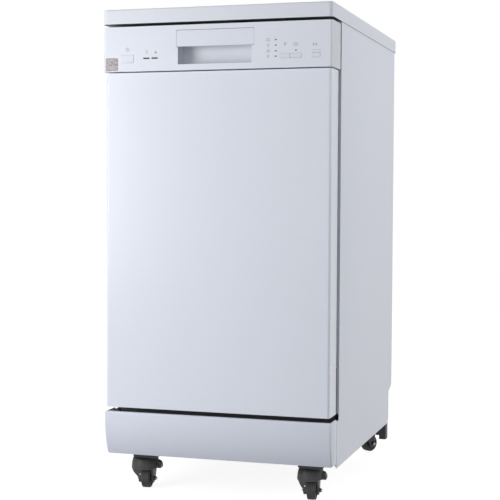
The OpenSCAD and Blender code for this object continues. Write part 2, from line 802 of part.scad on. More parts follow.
// Open wire basket made of five flat panels.
module wire_basket(half, z) {
    y = [rack_front, rack_rear];
    wall_z = [z[0] + wire_d * 0.8, z[1]];
    inner = half - wire_d / 2;
    rack_floor(inner - wire_d, [y[0] + wire_d, y[1] - wire_d], z[0] + wire_d / 2);
    both_sides() rack_side(half - wire_d / 2, y, wall_z);
    for (end = [y[0] + wire_d / 2, y[1] - wire_d / 2])
        rack_end(half - wire_d * 1.5 - seam, end, wall_z);
}

module lower_rack_basket() color("slategray") wire_basket(lower_half_w, lower_z);

// Rows of plate tines standing on the floor wires.
module lower_rack_tines() color("slategray") {
    foot = lower_z[0] + wire_d * 1.5;
    for (row = [-96, -40, 16]) {
        wire_y([250, rack_rear - 8], row, foot);
        for (i = [0:9]) wire_z([foot, foot + 72], row, 262 + i * wire_pitch);
    }
}

module lower_rack_wheels() color("whitesmoke") both_sides() for (y = rack_wheel_d) {
    x = lower_half_w;
    bar_x([x + 4, x + 13], rack_wheel_r, y, track_z + 0.4 + rack_wheel_r);
    bar_x([x - 6, x + 4], 3, y, track_z + 0.4 + rack_wheel_r);
    // Clip that hangs the axle on the basket's side
    box([x + 0.3, x + 3.6], [y - 12, y + 12], [track_z + rack_wheel_r - 4, lower_z[0] + 24]);
}

module cutlery_basket() color("dimgray") {
    x = [52, 148];
    y = [104, 236];
    z = [lower_z[0] + wire_d * 1.6, 352];
    wall = 2.5;
    difference() {
        box(x, y, z);
        for (i = [0:1], j = [0:2]) {
            cell_x = x[0] + wall + i * (x[1] - x[0] - wall) / 2;
            cell_y = y[0] + wall + j * (y[1] - y[0] - wall) / 3;
            box([cell_x, cell_x + (x[1] - x[0] - wall) / 2 - wall],
                [cell_y, cell_y + (y[1] - y[0] - wall) / 3 - wall], [z[0] + wall, z[1] + 1]);
        }
    }
}

module upper_rack_basket() color("slategray") {
    wire_basket(upper_half_w, upper_z);
    foot = upper_z[0] + wire_d * 1.5 + seam;
    for (row = [-60, 60]) {
        wire_y([130, rack_rear - 8], row, foot + wire_d / 2);
        for (i = [0:6]) wire_z([foot + wire_d / 2, foot + 48], row, 150 + i * 2 * wire_pitch);
    }
}

module upper_rack_rails() color("lightgray") both_sides() {
    y = [rack_front + 7, rack_rear - 4];
    difference() {
        box(rail_x, y, rail_z);
        box([rail_x[0] + 2, rail_x[1] + 1], [y[0] - 1, y[1] + 1], [rail_z[0] + 2, rail_z[1] - 2]);
    }
    for (d = [210, 440]) box([upper_half_w, rail_x[0]], [d - 12, d + 12], [592, 606]);
}

module upper_feed_tube() color("gainsboro") {
    z = 538;
    // Duct below the basket, the hub's pin and the docking sleeve
    bar_y([arm_d, 535.4], 9, 0, z);
    translate([0, arm_d, z - 10]) cylinder(upper_z[0] - 3 - z + 10, 11, 11);
    translate([0, arm_d, 508]) cylinder(30, arm_pin_r, arm_pin_r);
    translate([0, arm_d, 508]) cylinder(3, 10, 10);
    // Saddles that clip to two of the basket's cross wires
    for (s = [3, 4]) difference() {
        box([-4, 4], [cross_wire_d(s) - 5, cross_wire_d(s) + 5], [z + 6, upper_z[0] - 0.5]);
        bar_x([-5, 5], wire_d / 2 + fit, cross_wire_d(s), upper_z[0] - wire_d * 0.3);
    }
}

// Two tapering blades about a hub, with spray slots on the upper face.
module spray_arm(z) difference() {
    tall(z) union() {
        circle(20);
        for (side = [0, 180]) rotate(side) {
            polygon([[0, -16], [arm_reach - 11, -11], [arm_reach - 11, 11], [0, 16]]);
            translate([arm_reach - 11, 0]) circle(11);
        }
    }
    translate([0, 0, z[0] - 1]) cylinder(z[1] - z[0] + 2, arm_pin_r + fit, arm_pin_r + fit);
    for (side = [0, 180], r = [45, 78, 111, 138]) rotate(side)
        box([r - 1.2, r + 1.2], [-7, 7], [z[1] - 1.5, z[1] + 1]);
}

module lower_spray_arm() color("gainsboro")
    translate([0, arm_d, 0]) rotate(35) spray_arm([track_z + 5.5, track_z + 16]);

module upper_spray_arm() color("gainsboro")
    translate([0, arm_d, 0]) rotate(-25) spray_arm([511.5, 524]);

// ---- Casters --------------------------------------------------------------

module caster_plates() color("dimgray") {
    for (i = [0:3]) translate([CASTERS[i][0], CASTERS[i][1], 0]) {
        translate([0, 0, plate_z[0]]) linear_extrude(plate_z[1] - plate_z[0])
            rounded(plate_size[0], plate_size[1], 4);
        // Heads of the four screws that hold the plate
        for (sx = [-1, 1], sy = [-1, 1])
            translate([sx * 15.5, sy * 14.5, plate_z[0] - 1.6]) cylinder(1.6, 2.2, 3, $fn = 24);
        translate([0, 0, 42]) cylinder(plate_z[0] - 42, king_r, king_r);
        translate([0, 0, 42]) cylinder(2.2, 7, 7);
    }
}

// Round cover over the swivel bearing: upright rim, then a shoulder to the neck.
module caster_dome() rotate_extrude() polygon([
    [dome_r, dome_z[0]], [dome_r, 41], [dome_r - 2.5, 50], [dome_r - 7, dome_z[1] - 1.5],
    [head_r - 1, dome_z[1]], [head_r - 1, dome_z[1] - dome_t],
    [dome_r - 8.5, dome_z[1] - dome_t - 1.5], [dome_r - 5, 49],
    [dome_r - dome_t, 40.6], [dome_r - dome_t, dome_z[0]]
]);

// Side view of a leg: wide under the bearing, narrow with a boss at the axle.
module leg_outline() {
    boss_r = 7;
    translate([-caster_trail, caster_r]) circle(boss_r);
    polygon([
        [-19, bridge_z], [13, bridge_z], [13, 41],
        [boss_r - 1 - caster_trail, caster_r - 4.5],
        [1 - boss_r - caster_trail, caster_r - 4.5], [-19.5, 36]
    ]);
}

module caster_fork(pedal) difference() {
    union() {
        both_sides() wide(cheek_x) leg_outline();
        // Bridge between the legs, and the neck that turns on the kingpin
        box([-cheek_x[1], cheek_x[1]], [-19, 13], [head_z[0], bridge_z]);
        translate([0, 0, head_z[0]]) cylinder(head_z[1] - head_z[0], head_r, head_r);
        difference() {
            caster_dome();
            // Window for the brake pedal
            if (pedal) box([cheek_x[1] + 0.5, 30], [-pedal_half - 0.5, pedal_half + 0.5], [30, 48.5]);
        }
        bar_x([-cheek_x[1] - 5, cheek_x[1] + 5], axle_r, -caster_trail, caster_r);
        // Nut and bolt head of the axle
        both_sides() translate([cheek_x[1], -caster_trail, caster_r]) rotate([0, 90, 0])
            cylinder(3, 4.4, 4.4, $fn = 6);
        // Pin across the window that the pedal turns on
        if (pedal)
            bar_y([-pedal_half - 2.5, pedal_half + 2.5], pedal_pin_r, pedal_pivot[0], pedal_pivot[1]);
    }
    // Wheel well, kingpin bore and the room for the kingpin's head
    difference() {
        bar_x([-cheek_x[0], cheek_x[0]], caster_r + well_gap, -caster_trail, caster_r);
        bar_x([-cheek_x[0] - 1, cheek_x[0] + 1], axle_r, -caster_trail, caster_r);
    }
    translate([0, 0, 30]) cylinder(40, king_r + fit, king_r + fit);
    translate([0, 0, 30]) cylinder(head_z[0] - 30, 7.6, 7.6);
}

module caster_wheel() translate([0, -caster_trail, caster_r]) rotate([0, 90, 0])
    rotate_extrude() difference() {
        union() {
            translate([0, -caster_w / 2 + 3]) square([caster_r, caster_w - 6]);
            translate([0, -caster_w / 2]) square([caster_r - 3, caster_w]);
            for (s = [-1, 1]) translate([caster_r - 3, s * (caster_w / 2 - 3)]) circle(3);
        }
        translate([-10, -20]) square([10 + axle_r + fit, 40]);
        // Shallow dish in each face, inside the tread
        for (s = [-1, 1]) translate([6, s * caster_w / 2 - 1.5]) square([7, 3]);
    }

// Ear beside the fork that a foot presses down.
module brake_pedal() {
    px = pedal_pivot[0];
    pz = pedal_pivot[1];
    difference() {
        union() {
            bar_y([-pedal_half, pedal_half], 4, px, pz);
            deep([-pedal_half + 1, pedal_half - 1]) polygon([
                [px, pz + 4], [px + 6, pz + 3.5], [px + 11, pz - 1], [px + 13, pz - 4.5],
                [px + 13, pz - 9.5], [px + 5, pz - 10.5], [px, pz - 4]
            ]);
        }
        bar_y([-20, 20], pedal_pin_r + fit, px, pz);
        // Grip grooves across the tread of the pedal
        for (step = [0:2]) translate([px + 7 + 2 * step, 0, pz + 2.6 - 1.9 * step])
            rotate([0, 42, 0]) cube([0.8, 40, 1.6], center = true);
    }
}

module caster_fork_front_left() color("black") at_caster(0) caster_fork(true);
module caster_fork_front_right() color("black") at_caster(1) caster_fork(true);
module caster_fork_rear_left() color("black") at_caster(2) caster_fork(false);
module caster_fork_rear_right() color("black") at_caster(3) caster_fork(false);
module caster_wheel_front_left() color("dimgray") at_caster(0) caster_wheel();
module caster_wheel_front_right() color("dimgray") at_caster(1) caster_wheel();
module caster_wheel_rear_left() color("dimgray") at_caster(2) caster_wheel();
module caster_wheel_rear_right() color("dimgray") at_caster(3) caster_wheel();
module brake_pedal_left() color("black") at_caster(0) brake_pedal();
module brake_pedal_right() color("black") at_caster(1) brake_pedal();

// ---- Output ---------------------------------------------------------------

placed() worktop_frame();
placed() worktop_board();
placed() left_side_panel();
placed() right_side_panel();
placed() back_panel();
placed() plinth();
placed() base_tray();
placed() front_rail();
placed() tub_wrap();
placed() tub_floor();
placed() door_gasket();
placed() seal_blocks();
placed() hinge_brackets();
placed() hinge_pins();
placed() door_springs();
placed() sump();
placed() filter_plate();
placed() heater();
placed() wash_pump();
placed() drain_pump();
placed() inlet_valve();
placed() drain_outlet();
placed() cord_gland();
placed() supply_pipe();
placed() rack_rollers();
placed() caster_plates();
placed() door_outer_panel();
placed() door_inner_panel();
placed() control_panel();
placed() control_board();
placed() indicator_lenses();
placed() dispenser_body();
placed() door_hinge_plates();
placed() latch_lever();
placed() power_button();
placed() program_button();
placed() half_load_button();
placed() start_button();
placed() dispenser_lid();
placed() rinse_cap();
placed() lower_rack_basket();
placed() lower_rack_tines();
placed() lower_rack_wheels();
placed() cutlery_basket();
placed() upper_rack_basket();
placed() upper_feed_tube();
placed() upper_rack_rails();
placed() upper_spray_arm();
placed() lower_spray_arm();
placed() filter_cylinder();
placed() caster_fork_front_left();
placed() caster_fork_front_right();
placed() caster_fork_rear_left();
placed() caster_fork_rear_right();
placed() caster_wheel_front_left();
placed() caster_wheel_front_right();
placed() caster_wheel_rear_left();
placed() caster_wheel_rear_right();
placed() brake_pedal_left();
placed() brake_pedal_right();
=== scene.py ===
"""Portable dishwasher on casters: its finishes, printed marks and small fittings, and the
plinth, forks, brake pedals and cutlery basket that stand for plainer solids.

Metres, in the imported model's frame. +Z is up, the door faces -Y, and the origin is
on the floor under the middle. Drawing sizes are millimetres: x across, depth behind
the worktop's front edge, z above the floor.
"""

import logging
import math
from dataclasses import dataclass, field
from enum import Enum
from functools import cache

import bpy
from mathutils import Matrix, Vector


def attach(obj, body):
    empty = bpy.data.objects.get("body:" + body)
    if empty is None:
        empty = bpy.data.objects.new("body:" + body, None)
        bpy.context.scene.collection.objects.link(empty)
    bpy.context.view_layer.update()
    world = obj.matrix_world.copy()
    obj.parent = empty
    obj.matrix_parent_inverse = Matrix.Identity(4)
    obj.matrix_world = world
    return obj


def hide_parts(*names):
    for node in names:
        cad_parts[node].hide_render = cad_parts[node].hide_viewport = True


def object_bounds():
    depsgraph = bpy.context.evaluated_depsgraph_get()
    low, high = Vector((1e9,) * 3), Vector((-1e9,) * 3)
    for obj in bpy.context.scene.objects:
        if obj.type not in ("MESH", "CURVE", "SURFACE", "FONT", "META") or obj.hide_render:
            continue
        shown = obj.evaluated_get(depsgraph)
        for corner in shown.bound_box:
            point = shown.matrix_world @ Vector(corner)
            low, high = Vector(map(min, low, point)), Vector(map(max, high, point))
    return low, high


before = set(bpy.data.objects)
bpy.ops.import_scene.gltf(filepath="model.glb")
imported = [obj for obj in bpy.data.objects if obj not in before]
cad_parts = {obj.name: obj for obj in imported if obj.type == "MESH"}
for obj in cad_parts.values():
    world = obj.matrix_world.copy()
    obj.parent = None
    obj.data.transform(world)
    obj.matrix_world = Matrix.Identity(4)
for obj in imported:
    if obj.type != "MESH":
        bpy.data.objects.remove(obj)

log = logging.getLogger("dishwasher")

MM = 0.001
CAD_BOX = [list(corner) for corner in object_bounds()]
FRONT_EDGE = CAD_BOX[0][1] / MM
SMOOTH_UNDER = math.radians(38)
WELD = 0.000005  # metres within which two points are one

Colour = tuple[float, float, float]
Spot = tuple[float, float, float]
Pair = tuple[float, float]
Edges = tuple[float, float, float, float]
Piece = bpy.types.Object
Socket = bpy.types.NodeSocket
EVEN = (1.0, 1.0, 1.0)


def at(x: float, depth: float, z: float) -> Vector:
    """Gives a drawing point in metres: across, behind the worktop's edge, above the floor."""
    return Vector((x, depth + FRONT_EDGE, z)) * MM


def srgb(red: int, green: int, blue: int) -> Colour:
    """Turns an 8-bit display colour into a linear one.

    Args:
        red: Red, 0 to 255.
        green: Green, 0 to 255.
        blue: Blue, 0 to 255.

    Returns:
        The linear colour, 0 to 1.
    """

    def linear(level: int) -> float:
        """Undoes the display curve for one channel."""
        share = level / 255
        return share / 12.92 if share <= 0.04045 else ((share + 0.055) / 1.055) ** 2.4

    return linear(red), linear(green), linear(blue)


def shaded(colour: Colour, factor: float) -> Colour:
    """Scales a colour, kept within 0 to 1."""
    return tuple(min(1.0, channel * factor) for channel in colour)


def tones(
    colour: Colour, swing: float, low: float = 0.3, high: float = 0.7
) -> list[tuple[float, Colour]]:
    """Gives the ramp stops of a colour that varies by a share between two levels."""
    return [(low, shaded(colour, 1 - swing)), (high, shaded(colour, 1 + swing))]


# ---- Finishes ---------------------------------------------------------------


class Grain(Enum):
    """A surface's fine relief, with the octaves of its noise."""

    PEEL = 1.0
    MOULDED = 3.0
    BRUSHED = 4.0


class Sheet:
    """One material's node tree, with its Principled shader at the end."""

    def __init__(self, name: str) -> None:
        """Makes the material.

        Args:
            name: The material's name.
        """
        self.material = bpy.data.materials.new(name)
        self.material.use_nodes = True
        self.tree = self.material.node_tree
        self.shader = self.tree.nodes["Principled BSDF"]
        self.coords = self.add("ShaderNodeTexCoord")

    def add(self, kind: str, **options: object) -> bpy.types.Node:
        """Adds a node and sets its options.

        Args:
            kind: The node's type name.
            **options: Attributes of the node.

        Returns:
            The new node.
        """
        node = self.tree.nodes.new(kind)
        for name, value in options.items():
            setattr(node, name, value)
        return node

    def link(self, start: Socket, end: Socket) -> None:
        """Joins two sockets."""
        self.tree.links.new(start, end)

    def mapped(self, stretch: Spot = EVEN) -> Socket:
        """Gives Object coordinates, stretched along the axes.

        Args:
            stretch: Scale along x, y and z.

        Returns:
            The vector socket.
        """
        if stretch == EVEN:
            return self.coords.outputs["Object"]
        mapping = self.add("ShaderNodeMapping")
        mapping.inputs["Scale"].default_value = stretch
        self.link(self.coords.outputs["Object"], mapping.inputs["Vector"])
        return mapping.outputs["Vector"]

    def noise(self, scale: float, detail: float = 2.0, stretch: Spot = EVEN) -> Socket:
        """Gives a noise level from 0 to 1.

        Args:
            scale: Features to the metre.
            detail: Octaves of finer noise.
            stretch: Scale along x, y and z.

        Returns:
            The level's socket.
        """
        node = self.add("ShaderNodeTexNoise")
        node.inputs["Scale"].default_value = scale
        node.inputs["Detail"].default_value = detail
        self.link(self.mapped(stretch), node.inputs["Vector"])
        return node.outputs["Fac"]

    def cells(self, scale: float) -> bpy.types.Node:
        """Gives a Voronoi node on Object coordinates.

        Args:
            scale: Cells to the metre.

        Returns:
            The node.
        """
        node = self.add("ShaderNodeTexVoronoi")
        node.inputs["Scale"].default_value = scale
        self.link(self.mapped(), node.inputs["Vector"])
        return node

    def ramp(self, level: Socket, stops: list[tuple[float, Colour]]) -> Socket:
        """Turns a level into a colour.

        Args:
            level: The socket with the level.
            stops: Pairs of position and colour, in order.

        Returns:
            The colour's socket.
        """
        node = self.add("ShaderNodeValToRGB")
        bar = node.color_ramp
        while len(bar.elements) < len(stops):
            bar.elements.new(1.0)
        for element, (position, colour) in zip(bar.elements, stops):
            element.position = position
            element.color = (*colour, 1.0)
        self.link(level, node.inputs["Fac"])
        return node.outputs["Color"]

    def bricks(
        self, scale: float, first: Colour, second: Colour, mortar: Colour, width: float
    ) -> bpy.types.Node:
        """Lays a brick pattern on an upright face.

        Args:
            scale: Bricks to the metre.
            first: One brick's colour.
            second: The other brick's colour.
            mortar: Colour of the lines.
            width: Width of the lines.

        Returns:
            The brick node.
        """
        turn = self.add("ShaderNodeMapping")
        turn.inputs["Rotation"].default_value = (math.pi / 2, 0.0, 0.0)
        self.link(self.coords.outputs["Object"], turn.inputs["Vector"])
        node = self.add("ShaderNodeTexBrick")
        node.inputs["Scale"].default_value = scale
        for name, colour in (("Color1", first), ("Color2", second), ("Mortar", mortar)):
            node.inputs[name].default_value = (*colour, 1.0)
        node.inputs["Mortar Size"].default_value = width
        self.link(turn.outputs["Vector"], node.inputs["Vector"])
        return node

    def spread(self, level: Socket, low: float, high: float) -> Socket:
        """Maps a level of 0 to 1 onto a range.

        Args:
            level: The socket with the level.
            low: What 0 becomes.
            high: What 1 becomes.

        Returns:
            The result's socket.
        """
        node = self.add("ShaderNodeMapRange")
        node.inputs["To Min"].default_value = low
        node.inputs["To Max"].default_value = high
        self.link(level, node.inputs["Value"])
        return node.outputs["Result"]

    def mixed(self, first: Socket, second: Socket) -> bpy.types.Node:
        """Paints a mix of two colours.

        Args:
            first: The colour at a factor of 0.
            second: The colour at a factor of 1.

        Returns:
            The mixing node, whose factor is still to be set.
        """
        node = self.add("ShaderNodeMix", data_type="RGBA")
        self.link(first, node.inputs["A"])
        self.link(second, node.inputs["B"])
        self.paint(node.outputs["Result"])
        return node

    def paint(self, colour: Socket) -> None:
        """Makes a colour the surface's own."""
        self.link(colour, self.shader.inputs["Base Color"])

    def roughen(self, level: Socket, middle: float, swing: float) -> None:
        """Lets the roughness swing about a middle value with the level."""
        rough = self.spread(level, middle - swing, middle + swing)
        self.link(rough, self.shader.inputs["Roughness"])

    def relief(self, height: Socket, strength: float, depth: float) -> None:
        """Presses a height map into the surface.

        Args:
            height: The socket with the height, 0 to 1.
            strength: Share of the relief, 0 to 1.
            depth: Depth of the relief in metres.
        """
        bump = self.add("ShaderNodeBump")
        bump.inputs["Strength"].default_value = strength
        bump.inputs["Distance"].default_value = depth
        self.link(height, bump.inputs["Height"])
        self.link(bump.outputs["Normal"], self.shader.inputs["Normal"])

    def fix(self, **sockets: float) -> None:
        """Sets constants on the shader's own sockets, named with _ for a space."""
        for name, value in sockets.items():
            self.shader.inputs[name.replace("_", " ")].default_value = value


@dataclass(frozen=True)
class Finish:
    """A surface finish with a base colour, fine relief and gloss."""

    name: str
    colour: Colour
    grain: Grain = Grain.MOULDED
    roughness: float = 0.42
    swing: float = 0.05
    tone: float = 0.02
    tone_scale: float = 6.0
    relief_scale: float = 1800.0
    relief: float = 0.12
    relief_depth: float = 0.0002
    metallic: float = 0.0
    coat: float = 0.0
    gloss: float = 0.5
    stretch: Spot = EVEN

    def material(self) -> bpy.types.Material:
        """Builds the finish's material.

        Returns:
            The material, one for each call.
        """
        sheet = Sheet(self.name)
        broad = sheet.noise(self.tone_scale, 3.0, self.stretch)
        sheet.paint(sheet.ramp(broad, tones(self.colour, self.tone)))
        self.surface(sheet)
        sheet.fix(Metallic=self.metallic, Coat_Weight=self.coat)
        sheet.fix(Coat_Roughness=0.12, Specular_IOR_Level=self.gloss)
        return sheet.material

    def surface(self, sheet: Sheet) -> None:
        """Adds the fine relief and the roughness.

        Args:
            sheet: The material's nodes.
        """
        stretch = self.stretch if self.grain is Grain.BRUSHED else EVEN
        height = sheet.noise(self.relief_scale, self.grain.value, stretch)
        sheet.roughen(height, self.roughness, self.swing)
        sheet.relief(height, self.relief, self.relief_depth)


@dataclass(frozen=True)
class ZincFinish(Finish):
    """Galvanised sheet with crystal spangles."""

    def surface(self, sheet: Sheet) -> None:
        """Tints each crystal and gives it its own gloss.

        Args:
            sheet: The material's nodes.
        """
        cells = sheet.cells(self.relief_scale)
        split = sheet.add("ShaderNodeSeparateColor")
        sheet.link(cells.outputs["Color"], split.inputs["Color"])
        sheet.paint(sheet.ramp(split.outputs["Red"], tones(self.colour, 0.08, 0.0, 1.0)))
        sheet.roughen(split.outputs["Green"], self.roughness, self.swing)
        sheet.relief(sheet.noise(900.0), self.relief, self.relief_depth)


@dataclass(frozen=True)
class PaintedShadeFinish(Finish):
    """Moulding with painted shade: past a level along one axis its colour turns darker, standing in
    for shade in a recess or under a part.
    """

    axis: str = "Z"
    level: float = 0.0
    fade: float = 0.0003
    # the darker colour, painted where shade falls
    painted_shade: Colour = (0.5, 0.5, 0.5)

    def surface(self, sheet: Sheet) -> None:
        """Lays the moulding's own tone and the painted shade over the fine relief.

        Args:
            sheet: The material's nodes.
        """
        super().surface(sheet)
        axes = sheet.add("ShaderNodeSeparateXYZ")
        sheet.link(sheet.mapped(), axes.inputs["Vector"])
        # mask: 0 past the level, where the shade is painted, and 1 before it
        edge = sheet.add("ShaderNodeMapRange")
        edge.inputs["From Min"].default_value = self.level
        edge.inputs["From Max"].default_value = self.level + self.fade
        sheet.link(axes.outputs[self.axis], edge.inputs["Value"])
        broad = sheet.noise(self.tone_scale, 3.0)
        # the first ramp is painted shade, the second the moulding's own colour
        shade_stops, shown = (tones(colour, self.tone) for colour in (self.painted_shade, self.colour))
        mix = sheet.mixed(sheet.ramp(broad, shade_stops), sheet.ramp(broad, shown))
        sheet.link(edge.outputs["Result"], mix.inputs["Factor"])


@dataclass(frozen=True)
class LabelFinish(Finish):
    """Printed sticker: small pale and dark patches in a taupe frame, with no words."""

    pale: Colour = srgb(196, 190, 193)
    dark: Colour = srgb(104, 98, 104)
    fleck_share: float = 0.45

    def surface(self, sheet: Sheet) -> None:
        """Lays rows of small patches, broken up by a finer noise.

        Args:
            sheet: The material's nodes.
        """
        rows = sheet.bricks(95.0, self.colour, self.dark, self.pale, 0.045)
        stops = [(0.36, shaded(self.dark, 0.6)), (0.6, shaded(self.pale, 1.15))]
        flecks = sheet.ramp(sheet.noise(330.0, 2.0), stops)
        mix = sheet.mixed(rows.outputs["Color"], flecks)
        mix.inputs["Factor"].default_value = self.fleck_share
        sheet.roughen(sheet.noise(700.0), self.roughness, self.swing)


@dataclass(frozen=True)
class BoardFinish(Finish):
    """Circuit board: lacquer over copper tracks."""

    copper: Colour = srgb(96, 140, 84)

    def surface(self, sheet: Sheet) -> None:
        """Draws the tracks under the lacquer.

        Args:
            sheet: The material's nodes.
        """
        tracks = sheet.bricks(90.0, self.colour, shaded(self.colour, 1.15), self.copper, 0.05)
        sheet.paint(tracks.outputs["Color"])
        sheet.roughen(sheet.noise(300.0), self.roughness, self.swing)
        sheet.relief(tracks.outputs["Fac"], self.relief, self.relief_depth)


@dataclass(frozen=True)
class LensFinish(Finish):
    """Moulded light pipe: smoked, glossy, slightly cloudy."""

    def surface(self, sheet: Sheet) -> None:
        """Makes the lens glossy and lets a little light through."""
        sheet.roughen(sheet.noise(500.0), self.roughness, self.swing)
        sheet.fix(Transmission_Weight=0.15, IOR=1.49)


WHITE_PAINT = Finish(
    "white_paint", srgb(231, 236, 249), Grain.PEEL, roughness=0.3, swing=0.03, tone=0.008,
    tone_scale=3.0, relief_scale=900.0, relief=0.05, relief_depth=0.00015, gloss=0.22,
)
FRONT_PAINT = Finish(
    "front_paint", srgb(236, 241, 252), Grain.PEEL, roughness=0.28, swing=0.03, tone=0.008,
    tone_scale=2.0, relief_scale=900.0, relief=0.05, relief_depth=0.00015, coat=0.15, gloss=0.36,
)
# White panel plastic, painted a little darker more than 6 mm behind the worktop's edge as shade
# inside the grip pocket.
PANEL_PLASTIC_POCKET_SHADE = PaintedShadeFinish(
    "panel_plastic_pocket_shade", srgb(235, 239, 250), roughness=0.4, swing=0.04, tone=0.006, tone_scale=5.0,
    relief_scale=1600.0, relief=0.05, axis="Y", level=(FRONT_EDGE + 6.0) * MM, fade=-0.002,
    painted_shade=srgb(222, 225, 233),
)
LEVER_PLASTIC = Finish(
    "lever_plastic", srgb(233, 237, 249), roughness=0.34, swing=0.04, tone=0.006, tone_scale=5.0,
    relief_scale=1400.0, relief=0.04,
)
KEY_PLASTIC = Finish(
    "key_plastic", srgb(231, 235, 246), roughness=0.36, swing=0.04, tone=0.01, tone_scale=20.0,
    relief_scale=1400.0, relief=0.05,
)
# White top plastic, painted dark grey below 897.4 mm as the shade under the worktop's front edge.
TOP_PLASTIC_UNDER_SHADE = PaintedShadeFinish(
    "top_plastic_under_shade", srgb(232, 236, 246), roughness=0.38, tone=0.008, tone_scale=4.0,
    relief_scale=1500.0, relief=0.07, level=0.8974, painted_shade=srgb(67, 69, 77),
)
TOP_LAMINATE = Finish(
    "top_laminate", srgb(226, 229, 236), Grain.PEEL, roughness=0.33, swing=0.06, tone=0.015,
    tone_scale=40.0, relief_scale=1100.0, relief=0.1,
)
ZINC = ZincFinish(
    "zinc_sheet", srgb(176, 180, 184), roughness=0.44, swing=0.06, relief_scale=260.0, metallic=0.8
)
STEEL = Finish(
    "brushed_steel", srgb(196, 198, 202), Grain.BRUSHED, roughness=0.26, swing=0.08, tone=0.06,
    tone_scale=14.0, relief_scale=90.0, relief=0.08, relief_depth=0.0001, metallic=1.0,
    stretch=(1.0, 1.0, 22.0),
)
STEEL_FLAT = Finish(
    "brushed_steel_flat", srgb(188, 190, 195), Grain.BRUSHED, roughness=0.3, swing=0.08, tone=0.06,
    tone_scale=14.0, relief_scale=90.0, relief=0.08, relief_depth=0.0001, metallic=1.0,
    stretch=(22.0, 1.0, 1.0),
)
PLATED = Finish(
    "plated_hardware", srgb(146, 148, 152), roughness=0.38, swing=0.08, tone=0.08, tone_scale=60.0,
    relief_scale=1400.0, metallic=0.9,
)
BRIGHT = Finish(
    "bright_hardware", srgb(206, 208, 213), roughness=0.36, swing=0.06, tone=0.06, tone_scale=80.0,
    relief_scale=1400.0, relief=0.1, metallic=0.45,
)
BASIN = Finish(
    "basin_plastic", srgb(150, 153, 158), roughness=0.46, swing=0.06, tone=0.03, tone_scale=12.0,
    relief_scale=1300.0, relief=0.14,
)
INNER_GREY = Finish(
    "inner_grey_plastic", srgb(196, 199, 204), tone_scale=20.0, relief_scale=1500.0, relief=0.1
)
ARM_BLUE = Finish(
    "arm_plastic", srgb(120, 134, 158), roughness=0.4, tone=0.03, tone_scale=25.0,
    relief_scale=1400.0, relief=0.1,
)
DARK_PLASTIC = Finish(
    "dark_plastic", srgb(52, 53, 56), roughness=0.52, swing=0.07, tone=0.08, tone_scale=20.0,
    relief_scale=1500.0, relief=0.2,
)
CASTER_PLASTIC = Finish(
    "caster_plastic", srgb(58, 58, 60), roughness=0.5, swing=0.08, tone=0.12, tone_scale=60.0,
    relief_scale=1700.0, relief=0.25,
)
TREAD = Finish(
    "tread_rubber", srgb(52, 52, 54), roughness=0.68, swing=0.08, tone=0.15, tone_scale=90.0,
    relief_scale=2200.0, relief=0.35,
)
RUBBER = Finish(
    "seal_rubber", srgb(50, 52, 56), roughness=0.72, swing=0.06, tone=0.08, tone_scale=40.0,
    relief_scale=2000.0, relief=0.25,
)
RACK_COAT = Finish(
    "rack_nylon", srgb(172, 178, 188), roughness=0.38, swing=0.06, tone=0.03, tone_scale=30.0,
    relief_scale=1200.0, relief=0.1,
)
RACK_PLASTIC = Finish(
    "rack_plastic", srgb(168, 174, 184), roughness=0.46, swing=0.06, tone=0.03, tone_scale=30.0,
    relief_scale=1500.0, relief=0.14,
)
LENS = LensFinish("lamp_lens", srgb(58, 62, 76), roughness=0.22, tone=0.06, tone_scale=300.0)
BOARD = BoardFinish("circuit_board", srgb(44, 96, 58), roughness=0.35)
INK = Finish(
    "panel_ink", srgb(128, 132, 144), roughness=0.55, tone=0.06, tone_scale=900.0,
    relief_scale=2400.0, relief=0.05,
)
LABEL = LabelFinish("sticker", srgb(150, 141, 146), roughness=0.35)


@cache
def material_of(finish: Finish) -> bpy.types.Material:
    """Gives the finish's material, made once."""
    return finish.material()


def dress(finish: Finish, *nodes: str) -> None:
    """Puts a finish on CAD nodes.

    Args:
        finish: The finish.
        *nodes: The nodes' names.
    """
    for node in nodes:
        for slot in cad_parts[node].material_slots:
            slot.material = material_of(finish)


# ---- Modelling helpers ------------------------------------------------------


def release() -> None:
    """Leaves edit mode and deselects everything."""
    if bpy.context.object and bpy.context.object.mode != "OBJECT":
        bpy.ops.object.mode_set(mode="OBJECT")
    bpy.ops.object.select_all(action="DESELECT")


def chosen(piece: Piece) -> None:
    """Selects one piece alone and makes it the active one."""
    release()
    piece.select_set(True)
    bpy.context.view_layer.objects.active = piece


def settle(piece: Piece) -> None:
    """Moves a piece's place into its mesh, so that its object sits at the origin."""
    chosen(piece)
    bpy.ops.object.transform_apply(location=True, rotation=True, scale=True)


def joined(parts: list[Piece]) -> Piece:
    """Joins parts into one object.

    Args:
        parts: The parts, settled.

    Returns:
        The joined object.
    """
    chosen(parts[0])
    for part in parts:
        part.select_set(True)
    if len(parts) > 1:
        bpy.ops.object.join()
    return parts[0]


def opened() -> None:
    """Enters edit mode with the whole mesh selected."""
    bpy.ops.object.mode_set(mode="EDIT")
    bpy.ops.mesh.select_mode(type="VERT")
    bpy.ops.mesh.select_all(action="SELECT")


def welded() -> None:
    """Selects the whole mesh and merges the points that meet."""
    bpy.ops.mesh.select_all(action="SELECT")
    bpy.ops.mesh.remove_doubles(threshold=WELD)


def closed() -> None:
    """Points all faces outwards and leaves edit mode."""
    bpy.ops.mesh.select_all(action="SELECT")
    bpy.ops.mesh.normals_make_consistent(inside=False)
    bpy.ops.object.mode_set(mode="OBJECT")


def shaped(piece: Piece, kind: str, **options: object) -> None:
    """Adds a modifier to a piece, sets it and applies it.

    Args:
        piece: The piece.
        kind: The modifier's type name.
        **options: Attributes of the modifier.
    """
    chosen(piece)
    bpy.ops.object.modifier_add(type=kind)
    modifier = piece.modifiers[-1]
    for name, value in options.items():
        setattr(modifier, name, value)
    bpy.ops.object.modifier_apply(modifier=modifier.name)


